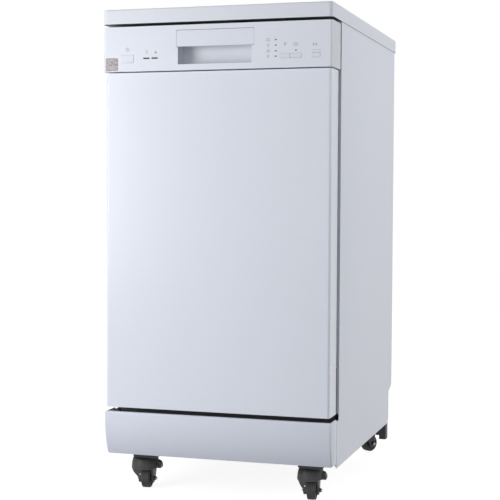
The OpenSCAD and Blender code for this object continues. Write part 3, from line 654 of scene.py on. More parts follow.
def traced(spots: list[Vector]) -> Piece:
    """Draws a chain of edges through points, and stays in edit mode with all of it selected.

    Args:
        spots: The points in metres, in order.

    Returns:
        The chain.
    """
    release()
    bpy.ops.mesh.primitive_plane_add(size=MM, location=spots[0])
    piece = bpy.context.object
    settle(piece)
    opened()
    bpy.ops.mesh.merge(type="CENTER")
    for here, there in zip(spots, spots[1:]):
        bpy.ops.mesh.extrude_region_move(TRANSFORM_OT_translate={"value": there - here})
    bpy.ops.mesh.select_all(action="SELECT")
    return piece


def block(low: Spot, high: Spot, soft: float = 0.0, rounds: int = 2) -> Piece:
    """Makes a block between two drawing points, with softened edges.

    Args:
        low: Its lowest corner.
        high: Its highest corner.
        soft: Radius of the edges.
        rounds: Faces across each edge.

    Returns:
        The block.
    """
    start, end = at(*low), at(*high)
    release()
    bpy.ops.mesh.primitive_cube_add(size=1, location=(start + end) / 2)
    piece = bpy.context.object
    piece.scale = end - start
    settle(piece)
    if soft:
        opened()
        bpy.ops.mesh.bevel(offset=soft * MM, segments=rounds, clamp_overlap=True)
        closed()
    return piece


def plate(
    low: Pair, high: Pair, depth: float, thick: float, corner: float,
    rounds: int = 4, turn: float = 0.0, shoulder: float = 0.0,
) -> Piece:
    """Makes an upright plate with round corners.

    Args:
        low: Left and lower edge.
        high: Right and upper edge.
        depth: Depth of the face that it grows from.
        thick: Thickness, towards the rear where positive.
        corner: Radius of the corners.
        rounds: Faces round each corner.
        turn: Turn in its own plane, in degrees.
        shoulder: Width and rise of a sloping shoulder.

    Returns:
        The plate.
    """
    release()
    middle = at((low[0] + high[0]) / 2, depth, (low[1] + high[1]) / 2)
    upright = (math.pi / 2, math.radians(turn), 0)
    bpy.ops.mesh.primitive_plane_add(size=1, rotation=upright, location=middle)
    piece = bpy.context.object
    piece.scale = ((high[0] - low[0]) * MM, (high[1] - low[1]) * MM, 1)
    settle(piece)
    opened()
    bpy.ops.mesh.bevel(offset=corner * MM, segments=rounds, affect="VERTICES")
    bpy.ops.mesh.select_all(action="SELECT")
    bpy.ops.mesh.extrude_region_move(TRANSFORM_OT_translate={"value": (0, thick * MM, 0)})
    if shoulder:
        bpy.ops.mesh.inset(thickness=shoulder * MM)
        bpy.ops.transform.translate(value=(0, math.copysign(shoulder, thick) * MM, 0))
    closed()
    return piece


def turned(outline: list[Pair], centre: Spot, axis: Spot, steps: int = 32) -> Piece:
    """Turns an outline round an axis, as on a lathe.

    Args:
        outline: Pairs of radius and distance along the axis, from end to end.
        centre: Drawing point that the distances start from.
        axis: Direction of the axis.
        steps: Faces round the axis.

    Returns:
        The turned piece.
    """
    line = Vector(axis).normalized()
    side = line.orthogonal().normalized()
    origin = at(*centre)
    piece = traced([origin + (side * radius + line * along) * MM for radius, along in outline])
    bpy.ops.mesh.spin(steps=steps, angle=2 * math.pi, center=origin, axis=line)
    welded()
    closed()
    return piece


def rod(radius: float, half: float) -> list[Pair]:
    """Gives the outline of a plain rod, half its length to each side."""
    return [(0, half), (radius, half), (radius, -half), (0, -half)]


def ringed(piece: Piece, count: int, centre: Spot, axis: Spot) -> Piece:
    """Repeats a piece round an axis.

    Args:
        piece: The piece, which stays as the first.
        count: How many there are in all.
        centre: Drawing point on the axis.
        axis: Direction of the axis.

    Returns:
        The piece with all its repeats.
    """
    chosen(piece)
    opened()
    sweep = 2 * math.pi * (count - 1) / count
    bpy.ops.mesh.spin(steps=count - 1, dupli=True, angle=sweep, center=at(*centre), axis=axis)
    closed()
    return piece


def repeated(piece: Piece, shifts: list[Spot]) -> Piece:
    """Sets a copy of a piece at each shift from it, and joins them all.

    Args:
        piece: The piece, which stays as the first.
        shifts: Millimetres across, in depth and in height.

    Returns:
        The piece with its copies.
    """
    parts = [piece]
    for shift in shifts:
        chosen(piece)
        bpy.ops.object.duplicate_move(TRANSFORM_OT_translate={"value": Vector(shift) * MM})
        copy = bpy.context.object
        settle(copy)
        parts.append(copy)
    return joined(parts)


def mirrored(piece: Piece) -> Piece:
    """Adds the same piece on the other side of the middle.

    Args:
        piece: The piece on one side.

    Returns:
        The pair, joined.
    """
    chosen(piece)
    bpy.ops.object.duplicate_move()
    copy = bpy.context.object
    copy.scale = (-1, 1, 1)
    settle(copy)
    opened()
    closed()
    return joined([piece, copy])


def prism(outline: list[Spot], reach: Spot) -> Piece:
    """Raises a solid from a flat outline.

    Args:
        outline: Drawing points round the outline.
        reach: Millimetres that it goes across, in depth and in height.

    Returns:
        The solid.
    """
    piece = traced([at(*spot) for spot in [*outline, outline[0]]])
    welded()
    bpy.ops.mesh.edge_face_add()
    bpy.ops.mesh.select_all(action="SELECT")
    bpy.ops.mesh.extrude_region_move(TRANSFORM_OT_translate={"value": Vector(reach) * MM})
    closed()
    return piece


def swung(piece: Piece, centre: Spot, turn: float) -> Piece:
    """Turns a settled piece about an upright axis.

    Args:
        piece: The piece.
        centre: Drawing point on the axis.
        turn: Turn in degrees, seen from above.

    Returns:
        The piece, settled again.
    """
    middle = at(*centre)
    around = Matrix.Rotation(math.radians(turn), 4, "Z")
    piece.matrix_world = Matrix.Translation(middle) @ around @ Matrix.Translation(-middle)
    settle(piece)
    return piece


def trimmed(piece: Piece, cutter: Piece, rule: str = "DIFFERENCE") -> None:
    """Cuts one piece with another and deletes the cutter.

    Args:
        piece: The piece that is cut.
        cutter: The piece that cuts.
        rule: What stays, as the Boolean modifier calls it.
    """
    shaped(piece, "BOOLEAN", operation=rule, object=cutter)
    chosen(cutter)
    bpy.ops.object.delete()


def lattice(low: Spot, high: Spot, columns: int, rows: int, wire: float) -> Piece:
    """Makes a flat open grid between two drawing points that share one coordinate.

    Args:
        low: One corner.
        high: The opposite corner.
        columns: Openings along the first free direction.
        rows: Openings along the second.
        wire: Thickness of the bars.

    Returns:
        The grid.
    """
    start, end = at(*low), at(*high)
    span = end - start
    release()
    bpy.ops.mesh.primitive_grid_add(
        x_subdivisions=columns, y_subdivisions=rows, size=1, location=(start + end) / 2
    )
    piece = bpy.context.object
    if abs(span.x) < MM * 0.01:
        piece.rotation_euler = (math.pi / 2, 0, math.pi / 2)
        piece.scale = (span.y, span.z, 1)
    elif abs(span.y) < MM * 0.01:
        piece.rotation_euler = (math.pi / 2, 0, 0)
        piece.scale = (span.x, span.z, 1)
    else:
        piece.scale = (span.x, span.y, 1)
    settle(piece)
    shaped(piece, "WIREFRAME", thickness=wire * MM, use_even_offset=False)
    return piece


def finished(
    piece: Piece, name: str, body: str, finish: Finish, slot: str = "", replaces: str = ""
) -> None:
    """Names a new piece, gives it its finish and its CAD body, and reports it.

    Args:
        piece: The settled piece.
        name: Its name.
        body: The body it rides on.
        finish: Its finish.
        slot: Not used.
        replaces: The CAD node it stands for, if any.
    """
    piece.name = piece.data.name = name
    if replaces:
        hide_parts(replaces)
    chosen(piece)
    bpy.ops.object.shade_smooth_by_angle(angle=SMOOTH_UNDER)
    piece.data.materials.clear()
    piece.data.materials.append(material_of(finish))
    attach(piece, body)
    log.info("%s: %d faces on %s", name, len(piece.data.polygons), body)


# ---- Fasteners --------------------------------------------------------------


@dataclass(frozen=True)
class Screw:
    """Pan-head screw with a cross recess."""

    radius: float = 3.5
    height: float = 1.7
    recess: float = 1.0
    blade: float = 0.9

    def head(self, spot: Spot, facing: Spot) -> Piece:
        """Models one head.

        Args:
            spot: Drawing point in the middle of its seat.
            facing: Direction that it faces, along one axis.

        Returns:
            The head.
        """
        tall, wide = self.height, self.radius
        crown = [(0, tall), (wide * 0.55, tall * 0.96), (wide * 0.85, tall * 0.74)]
        piece = turned([*crown, (wide, tall * 0.4), (wide, -0.2), (0, -0.2)], spot, facing, 20)
        axis = Vector(facing)
        side = axis.orthogonal().normalized()
        top = Vector(spot) + axis * tall
        for long, short in ((side, axis.cross(side)), (axis.cross(side), side)):
            half = Vector(
                abs(a) * self.recess + abs(l) * wide * 0.62 + abs(b) * self.blade / 2
                for a, l, b in zip(axis, long, short)
            )
            trimmed(piece, block(top - half, top + half))
        return piece

    def row(self, name: str, body: str, spots: list[Spot], facing: Spot) -> None:
        """Sets the same screw at each drawing point, as one piece that rides on a body."""
        shifts = [tuple(Vector(spot) - Vector(spots[0])) for spot in spots[1:]]
        finished(repeated(self.head(spots[0], facing), shifts), name, body, PLATED)


# ---- Printed marks ----------------------------------------------------------


@dataclass
class Print:
    """Thin marks on the front of the control panel."""

    depth: float = 0.93
    height: float = 0.07
    parts: list[Piece] = field(default_factory=list)

    def bar(self, x0: float, z0: float, x1: float, z1: float, turn: float = 0.0) -> None:
        """Adds a bar between two corners, turned in the panel's plane by degrees."""
        corner = min(x1 - x0, z1 - z0) * 0.3
        self.parts.append(plate((x0, z0), (x1, z1), self.depth, self.height, corner, 2, turn))

    def ring(
        self, x: float, z: float, radius: float, width: float, start: float = 0, end: float = 360
    ) -> None:
        """Adds a ring or an arc of one.

        Args:
            x: Centre across.
            z: Centre's height.
            radius: Outer radius.
            width: Line width.
            start: First angle in degrees, 0 to the right, turning up.
            end: Last angle in degrees.
        """
        release()
        centre = at(x, self.depth, z)
        bpy.ops.mesh.primitive_circle_add(
            vertices=36, radius=radius * MM, fill_type="NGON",
            rotation=(math.pi / 2, 0, 0), location=centre,
        )
        disc = bpy.context.object
        settle(disc)
        opened()
        bpy.ops.mesh.inset(thickness=width * MM)
        bpy.ops.mesh.delete(type="FACE")
        bpy.ops.object.mode_set(mode="OBJECT")
        if end - start < 360:
            for face in disc.data.polygons:
                spot = face.center - centre
                angle = math.degrees(math.atan2(spot.z, spot.x)) % 360
                face.select = not (start <= angle <= end or start <= angle + 360 <= end)
            bpy.ops.object.mode_set(mode="EDIT")
            bpy.ops.mesh.select_mode(type="FACE")
            bpy.ops.mesh.delete(type="FACE")
            bpy.ops.object.mode_set(mode="OBJECT")
        opened()
        bpy.ops.mesh.extrude_region_move(TRANSFORM_OT_translate={"value": (0, self.height * MM, 0)})
        closed()
        self.parts.append(disc)

    def done(self, name: str, body: str = "door") -> None:
        """Joins the marks into one named piece, printed on a body."""
        finished(joined(self.parts), name, body, INK)


@dataclass(frozen=True)
class Mark:
    """One printed mark: the arguments of its bars and of its rings."""

    name: str
    bars: tuple[tuple[float, ...], ...] = ()
    rings: tuple[tuple[float, ...], ...] = ()


MARKS = (
    Mark("power_mark", ((-174.4, 849.4, -173.6, 853),), ((-174, 849, 3.1, 0.7, 120, 420),)),
    Mark("salt_mark", (), ((-135, 845.4, 1.7, 0.6, 0, 250), (-135, 842.6, 1.7, 0.6, 180, 430))),
    Mark("rinse_mark", tuple((-119.3, 842.1, -114.7, 842.8, turn) for turn in (0, 45, 90, 135))),
    Mark("pan_mark", (
        (99.4, 857, 105, 857.7), (99.4, 860.6, 105, 861.3),
        (99.4, 857, 100.1, 861.3), (104.3, 857, 105, 861.3),
    )),
    Mark("glass_mark", (
        (100, 850.4, 104.6, 851.1), (102, 847, 102.6, 850.4), (100.6, 846.6, 104, 847.2),
    )),
    Mark("quick_mark", (
        (101.9, 838.5, 102.5, 840.6), (102, 838.2, 104, 838.8),
    ), ((102.2, 838.5, 2.8, 0.6),)),
    Mark("rinse_only_mark", (
        (99.6, 828.6, 104.8, 829.2), (100.6, 826.8, 103.8, 827.4), (99.6, 830.4, 104.8, 831),
    )),
    Mark("programme_mark", (
        (132.6, 847.2, 133.3, 853), (133, 852.8, 134.8, 853.4), (133, 849.4, 134.8, 850),
    ), ((134.6, 851.4, 2.0, 0.6, 270, 450),)),
    Mark("half_load_mark", (
        (150.6, 847.4, 158.4, 848.1), (150.6, 847.4, 151.3, 852),
        (157.7, 847.4, 158.4, 852), (153, 849.4, 156, 850),
    ), ((154.5, 850.8, 2.2, 0.6, 0, 180),)),
    Mark("start_mark", (
        (186.5, 846.2, 187.1, 851), (186.9, 849.2, 190, 849.8, 32), (186.9, 847.2, 190, 847.8, -32),
        (191.2, 846.2, 191.9, 851), (192.9, 846.2, 193.6, 851),
    )),
)


# ---- Sub-assemblies ---------------------------------------------------------


@dataclass
class Studio:
    """Camera, lamps, floor and surroundings."""

    viewpoint: Spot = (759.2, -2246.0, 570.1)
    yaw: float = 0.2978
    pitch: float = -0.0403
    roll: float = 0.0049
    focal: float = 1277.8
    picture: float = 500.0
    sensor: float = 36.0
    floor_size: float = 40.0
    floor_glow: float = 0.9
    world_light: float = 0.22

    def build(self) -> None:
        """Makes the camera first, then the lamps, the floor and the world."""
        self.camera()
        self.lamp("key", (-1.15, -1.5, 0.72), (0.0, -0.3, 0.6), (0.8, 0.8), 18.2)
        self.lamp("front", (0.2, -2.6, 1.2), (0.0, -0.3, 0.5), (1.6, 1.6), 5.4)
        self.lamp("strip", (1.3, -2.1, 0.7), (0.2, -0.3, 0.6), (0.22, 1.3), 2.6)
        self.lamp("side", (1.8, 0.2, 1.05), (0.2, 0.0, 0.75), (0.8, 0.8), 11.0)
        self.lamp("rear", (-1.2, 2.4, 1.9), (0.0, 0.3, 0.5), (1.4, 1.4), 18.0)
        self.floor()
        self.world()
        bpy.context.scene.view_settings.view_transform = "Standard"

    def camera(self) -> None:
        """Places the camera at the picture's viewpoint."""
        data = bpy.data.cameras.new("camera")
        data.sensor_width = self.sensor
        data.lens = self.sensor * self.focal / self.picture
        camera = bpy.data.objects.new("camera", data)
        bpy.context.scene.collection.objects.link(camera)
        ahead, aside, level = math.cos(self.yaw), math.sin(self.yaw), math.cos(self.pitch)
        forward = Vector((-aside * level, ahead * level, math.sin(self.pitch)))
        right = Vector((ahead, aside, 0.0))
        up = right.cross(forward)
        rolled = right * math.cos(self.roll) + up * math.sin(self.roll)
        upright = up * math.cos(self.roll) - right * math.sin(self.roll)
        frame_axes = Matrix((rolled, upright, -forward)).transposed().to_4x4()
        camera.matrix_world = Matrix.Translation(at(*self.viewpoint)) @ frame_axes
        bpy.context.scene.camera = camera

    def lamp(self, name: str, place: Spot, target: Spot, size: Pair, power: float) -> None:
        """Hangs one soft lamp.

        Args:
            name: Its name.
            place: Where it hangs.
            target: What it faces.
            size: Width and height in metres.
            power: Watts.
        """
        data = bpy.data.lights.new(name, "AREA")
        data.shape = "RECTANGLE"
        data.size, data.size_y = size
        data.energy = power
        lamp = bpy.data.objects.new(name, data)
        bpy.context.scene.collection.objects.link(lamp)
        lamp.location = place
        lamp.rotation_euler = (Vector(target) - Vector(place)).to_track_quat("-Z", "Y").to_euler()

    def seen(self, sheet: Sheet) -> Socket:
        """Gives 1 for camera, glossy and transmission rays, else 0.

        Args:
            sheet: The nodes to add to, with add and link.

        Returns:
            The level's socket.
        """
        path = sheet.add("ShaderNodeLightPath")
        either = sheet.add("ShaderNodeMath", operation="MAXIMUM")
        sheet.link(path.outputs["Is Camera Ray"], either.inputs[0])
        sheet.link(path.outputs["Is Glossy Ray"], either.inputs[1])
        both = sheet.add("ShaderNodeMath", operation="MAXIMUM")
        sheet.link(either.outputs[0], both.inputs[0])
        sheet.link(path.outputs["Is Transmission Ray"], both.inputs[1])
        return both.outputs[0]

    def floor(self) -> None:
        """Lays a plain pale floor that reads white and keeps a soft shadow."""
        release()
        bpy.ops.mesh.primitive_plane_add(size=self.floor_size, location=(0, 0, 0))
        floor = bpy.context.object
        floor.name = "floor"
        sheet = Sheet("floor_white")
        stops = [(0.3, srgb(138, 138, 140)), (0.7, srgb(144, 144, 146))]
        sheet.paint(sheet.ramp(sheet.noise(3.0), stops))
        sheet.fix(Roughness=0.9)
        sheet.shader.inputs["Emission Color"].default_value = (1.0, 1.0, 1.0, 1.0)
        glow = sheet.add("ShaderNodeMath", operation="MULTIPLY")
        glow.inputs[1].default_value = self.floor_glow
        sheet.link(self.seen(sheet), glow.inputs[0])
        sheet.link(glow.outputs[0], sheet.shader.inputs["Emission Strength"])
        floor.data.materials.append(sheet.material)

    def world(self) -> None:
        """Surrounds the scene with white as seen, and a plain grey as light."""
        world = bpy.data.worlds.new("surroundings")
        bpy.context.scene.world = world
        world.use_nodes = True
        tree = world.node_tree
        back = tree.nodes["Background"]
        back.inputs["Color"].default_value = (1.0, 1.0, 1.0, 1.0)
        sheet = WorldSheet(tree)
        level = sheet.add("ShaderNodeMapRange")
        level.inputs["To Min"].default_value = self.world_light
        level.inputs["To Max"].default_value = 1.0
        sheet.link(self.seen(sheet), level.inputs["Value"])
        sheet.link(level.outputs["Result"], back.inputs["Strength"])


class WorldSheet(Sheet):
    """The world's node tree, for the calls that add and link."""

    def __init__(self, tree: bpy.types.NodeTree) -> None:
        """Takes over the world's nodes."""
        self.tree = tree


@dataclass
class Worktop:
    """Worktop surround and its board."""

    def build(self) -> None:
        """Dresses both parts."""
        # The frame's underside is painted dark as shade under the worktop.
        dress(TOP_PLASTIC_UNDER_SHADE, "worktop_frame")
        dress(TOP_LAMINATE, "worktop_board")


@dataclass
class Cabinet:
    """Painted sides, back sheet, plinth, base and the fittings on the back."""

    screw: Screw = Screw()
    flange_x: float = 214.0
    flange_rear: float = 595.0
    flange_heights: tuple[float, ...] = (200, 370, 540, 710, 880)
    back_rear: float = 593.8
    back_heights: Pair = (178, 886)
    back_across: tuple[float, ...] = (-170, -57, 57, 170)
    cover_low: Pair = (20, 206)
    cover_high: Pair = (150, 296)
    base_rear: float = 590.0
    fitting_z: float = 122.0
    inlet_x: float = -150.0
    drain_x: float = -92.0
    gland_x: float = 150.0
    plinth_half: float = 223.0
    plinth_z: Pair = (77.0, 161.0)
    plinth_front: float = 6.6
    plinth_bend: float = 141.0
    plinth_curve: float = 140.69
    plinth_rear: float = 55.5
    plinth_steps: int = 24

    def build(self) -> None:
        """Dresses the sheets and the base, and adds what is on the back."""
        dress(WHITE_PAINT, "left_side_panel", "right_side_panel")
        dress(ZINC, "back_panel", "front_rail")
        dress(DARK_PLASTIC, "base_tray", "cord_gland")
        dress(RUBBER, "seal_blocks")
        self.kick_plate()
        self.screws()
        self.cover()
        self.thread()
        self.barbs()
        self.ribs()

    def screws(self) -> None:
        """Sets the screws of the side flanges and of the back sheet."""
        for hand, side in (("left", -1), ("right", 1)):
            spots = [(side * self.flange_x, self.flange_rear, z) for z in self.flange_heights]
            self.screw.row(f"flange_screws_{hand}", "cabinet", spots, (0, 1, 0))
        spots = [(x, self.back_rear, z) for z in self.back_heights for x in self.back_across]
        self.screw.row("back_screws", "cabinet", spots, (0, 1, 0))

    def plinth_depth(self, z: float, inset: float = 0.0) -> float:
        """Gives the depth of the plinth's curved face.

        Args:
            z: The height.
            inset: How far behind the face.

        Returns:
            The depth in millimetres.
        """
        if z >= self.plinth_bend:
            return self.plinth_front + inset
        centre = self.plinth_front + self.plinth_curve
        return centre - math.sqrt((self.plinth_curve - inset) ** 2 - (self.plinth_bend - z) ** 2)

    def plinth_face(self, half: float, foot: float, inset: float = 0.0) -> list[Spot]:
        """Follows the plinth's curved face from its foot to its bend.

        Args:
            half: How far left of the middle.
            foot: Height of the first point.
            inset: How far behind the face.

        Returns:
            The points.
        """
        rise = (self.plinth_bend - foot) / self.plinth_steps
        heights = [foot + rise * step for step in range(self.plinth_steps + 1)]
        return [(-half, self.plinth_depth(z, inset), z) for z in heights]

    def kick_plate(self) -> None:
        """Builds the curved plinth as a solid with round front corners, hollowed from behind."""
        half, front, rear = self.plinth_half, self.plinth_front, self.plinth_rear
        foot, top = self.plinth_z
        back = [(-half, front, top), (-half, rear, top), (-half, rear, foot)]
        piece = prism([*self.plinth_face(half, foot), *back], (2 * half, 0, 0))
        opened()
        bpy.ops.mesh.select_mode(type="EDGE")
        bpy.ops.object.mode_set(mode="OBJECT")
        limit = at(0, (front + rear) / 2, 0).y
        for edge in piece.data.edges:
            start, end = (piece.data.vertices[index].co for index in edge.vertices)
            upright = abs(start.x - end.x) < MM and abs(start.z - end.z) > MM
            edge.select = upright and max(start.y, end.y) < limit
        bpy.ops.object.mode_set(mode="EDIT")
        bpy.ops.mesh.bevel(offset=2.8 * MM, segments=6, affect="EDGES")
        closed()
        wall, lip, past = 2.0, 4.0, 4.0
        inner, ledge, roof = half - wall, front + wall + lip, top - wall
        low, high, behind = foot - past, top + past, rear + past
        face = self.plinth_face(inner, low, wall)
        rest = ((front + wall, roof), (ledge, roof), (ledge, high), (behind, high), (behind, low))
        trimmed(piece, prism([*face, *((-inner, y, z) for y, z in rest)], (2 * inner, 0, 0)))
        finished(piece, "kick_plate", "cabinet", WHITE_PAINT, "white_panel", "plinth")

    def cover(self) -> None:
        """Screws a pressed service cover over the pump."""
        low, high, thick, rise, inset = self.cover_low, self.cover_high, 1.0, 1.6, 10
        sheet = plate(low, high, self.back_rear, thick, 6, 6, shoulder=rise)
        finished(sheet, "service_cover", "cabinet", ZINC)
        seat = self.back_rear + thick + rise
        across, heights = ((near + inset, far - inset) for near, far in zip(low, high))
        spots = [(x, seat, z) for x in across for z in heights]
        self.screw.row("cover_screws", "cabinet", spots, (0, 1, 0))

    def thread(self) -> None:
        """Winds the inlet's thread with a Screw modifier."""
        pitch, turns, root, crest, steps = 1.9, 7, 12.7, 13.9, 36
        corners = [(root, 0), (crest, 0.5), (crest, 0.9), (root, 1.4), (root, 0)]
        piece = traced([Vector((radius, along, 0)) * MM for radius, along in corners])
        welded()
        shaped(
            piece, "SCREW", axis="Y", angle=2 * math.pi, screw_offset=pitch * MM, iterations=turns,
            steps=steps, render_steps=steps, use_normal_calculate=True,
        )
        piece.location = at(self.inlet_x, self.base_rear - 0.5, self.fitting_z)
        settle(piece)
        opened()
        welded()
        bpy.ops.mesh.fill_holes(sides=6)
        closed()
        finished(piece, "inlet_thread", "cabinet", RACK_PLASTIC)

    def barbs(self) -> None:
        """Turns the barbs that hold a hose on the drain's spigot."""
        outline = [(9.3, 0)]
        for start in (0.4, 4.8, 9.2):
            outline += [(10.9, start), (10.9, start + 0.4), (9.6, start + 4.2)]
        outline += [(9.3, 13.6), (9.3, 0)]
        piece = turned(outline, (self.drain_x, 592, self.fitting_z), (0, 1, 0), 40)
        finished(piece, "drain_barbs", "cabinet", DARK_PLASTIC)

    def ribs(self) -> None:
        """Adds the moulded ribs of the base's rear wall and of the cord gland."""
        x, z = self.gland_x, self.fitting_z
        rib = block((x - 8, 594.2, z - 6), (x + 8, 595.4, z + 6), 0.9, 3)
        gland = repeated(rib, [(0, 2.1, 0)])
        finished(gland, "gland_ribs", "cabinet", DARK_PLASTIC)
        rib = block((-58, self.base_rear - 1, 84), (-55.5, self.base_rear + 2.2, 158), 0.8, 3)
        base = repeated(rib, [(step * 19, 0, 0) for step in range(1, 10)])
        finished(base, "base_ribs", "cabinet", DARK_PLASTIC)


@dataclass
class ControlPanel:
    """Panel with its grip, keys, lamps, printed marks and sticker."""

    label: Edges = (-218.5, 809.5, -193.3, 834.0)
    key_line: Edges = (185.5, 833.1, 198.8, 833.6)
    key_face: float = 0.35
    keys: tuple[Edges, ...] = (
        (-186.5, -162.0, 824.5, 838.5),
        (125.0, 165.0, 825.5, 833.4),
        (184.7, 199.5, 824.5, 838.5),
    )

    def build(self) -> None:
        """Dresses the panel and prints its marks."""
        # The grip pocket's inside is painted darker as shade in the recess.
        dress(PANEL_PLASTIC_POCKET_SHADE, "control_panel")
        dress(LEVER_PLASTIC, "latch_lever")
        dress(KEY_PLASTIC, "power_button", "program_button", "half_load_button", "start_button")
        dress(LENS, "indicator_lenses")
        dress(BOARD, "control_board")
        self.print_marks()
        # dark rims in the key gaps stand in for the shade there
        self.key_gap_shades()
        self.sticker()

    def print_marks(self) -> None:
        """Prints every mark on the panel, and the line on the start key."""
        for mark in MARKS:
            ink = Print()
            for ring in mark.rings:
                ink.ring(*ring)
            for bar in mark.bars:
                ink.bar(*bar)
            ink.done(mark.name)
        ink = Print(self.key_face)
        ink.bar(*self.key_line)
        ink.done("start_key_line", "start_key")

    def key_gap_shades(self) -> None:
        """Lays a dark rubber rim in the gap round each key, behind the panel's face, as painted
        shade in the gaps.
        """
        gap_shade_rims, lip, gap = [], 0.9, 0.04
        for x0, x1, z0, z1 in self.keys:
            rim = plate((x0 - lip, z0 - lip), (x1 + lip, z1 + lip), 1.7, 1.2, 0.5, 2)
            trimmed(rim, block((x0 - gap, 0, z0 - gap), (x1 + gap, 5, z1 + gap)))
            gap_shade_rims.append(rim)
        finished(joined(gap_shade_rims), "key_gap_shades", "door", RUBBER)

    def sticker(self) -> None:
        """Sticks the plain label to the panel's lower left corner."""
        x0, z0, x1, z1 = self.label
        sticker = plate((x0, z0), (x1, z1), 0.82, 0.18, 0.8)
        finished(sticker, "sticker", "door", LABEL)


@dataclass
class Door:
    """Door panels, seal, hinges and dispenser."""

    screw: Screw = Screw(3.2, 1.5)
    liner_rear: float = 51.0
    dish_rear: float = 45.0
    edge_x: float = 214.6
    cap: Spot = (44.0, 49.3, 480.0)
    glass: Spot = (44.0, 49.0, 452.0)
    liner_heights: tuple[float, ...] = (300, 450, 600, 750, 850)
    liner_top: float = 878.0
    bead_shifts: tuple[float, ...] = (38, 76, 114, 300, 338, 376, 414, 452, 490)

    def build(self) -> None:
        """Dresses the door's parts and adds the inner side's details."""
        dress(FRONT_PAINT, "door_outer_panel")
        dress(STEEL, "door_inner_panel")
        dress(RUBBER, "door_gasket")
        dress(PLATED, "hinge_brackets", "hinge_pins", "door_hinge_plates", "door_springs")
        dress(INNER_GREY, "dispenser_body", "dispenser_lid")
        dress(ARM_BLUE, "rinse_cap")
        self.beads()
        self.screws()
        self.dispenser()

    def beads(self) -> None:
        """Presses stiffening beads into the inner panel's dish."""
        first = plate((-122, 262), (122, 274), self.dish_rear, 0.8, 5.5, 6, shoulder=1.3)
        sheet = repeated(first, [(0, 0, shift) for shift in self.bead_shifts])
        finished(sheet, "liner_beads", "door", STEEL)

    def screws(self) -> None:
        """Sets the screws that hold the inner panel."""
        sides = (-self.edge_x, self.edge_x)
        spots = [(x, self.liner_rear, z) for x in sides for z in self.liner_heights]
        spots += [(x, self.liner_rear, self.liner_top) for x in (-150, -60, 60, 150)]
        self.screw.row("liner_screws", "door", spots, (0, 1, 0))
        spots = [(x, self.glass[1], z) for x in (-70, 70) for z in (436, 524)]
        self.screw.row("dispenser_screws", "door", spots, (0, 1, 0))

    def dispenser(self) -> None:
        """Adds the lid's raised field and catch ridges, the cap's ribs and the sight glass."""
        field_plate = plate((-52, 457), (7, 503), 51.7, 0.4, 4, 5, shoulder=0.5)
        ridge = block((-31, 53.8, 509.4), (-15, 54.5, 510.4), 0.3, 2)
        lid = joined([field_plate, repeated(ridge, [(0, 0, 2.1), (0, 0, 4.2)])])
        finished(lid, "lid_details", "detergent_lid", INNER_GREY)
        x, depth, z = self.cap
        rib = block((x + 13.6, depth + 0.3, z - 0.7), (x + 14.7, depth + 2.4, z + 0.7), 0.3, 2)
        ribs = ringed(rib, 28, self.cap, (0, 1, 0))
        finished(ribs, "rinse_cap_ribs", "rinse_aid_cap", ARM_BLUE)
        outline = [(0, 1.1), (3.6, 0.9), (4.4, 0.3), (4.4, -0.4), (0, -0.4)]
        glass = turned(outline, self.glass, (0, 1, 0), 28)
        finished(glass, "sight_glass", "door", LENS)
        outline = [(4.5, -0.3), (6.6, -0.3), (6.6, 0.7), (6.0, 1.2), (5.0, 1.2), (4.5, 0.8)]
        outline.append(outline[0])
        ring = turned(outline, self.glass, (0, 1, 0), 36)
        finished(ring, "sight_glass_ring", "door", INNER_GREY)


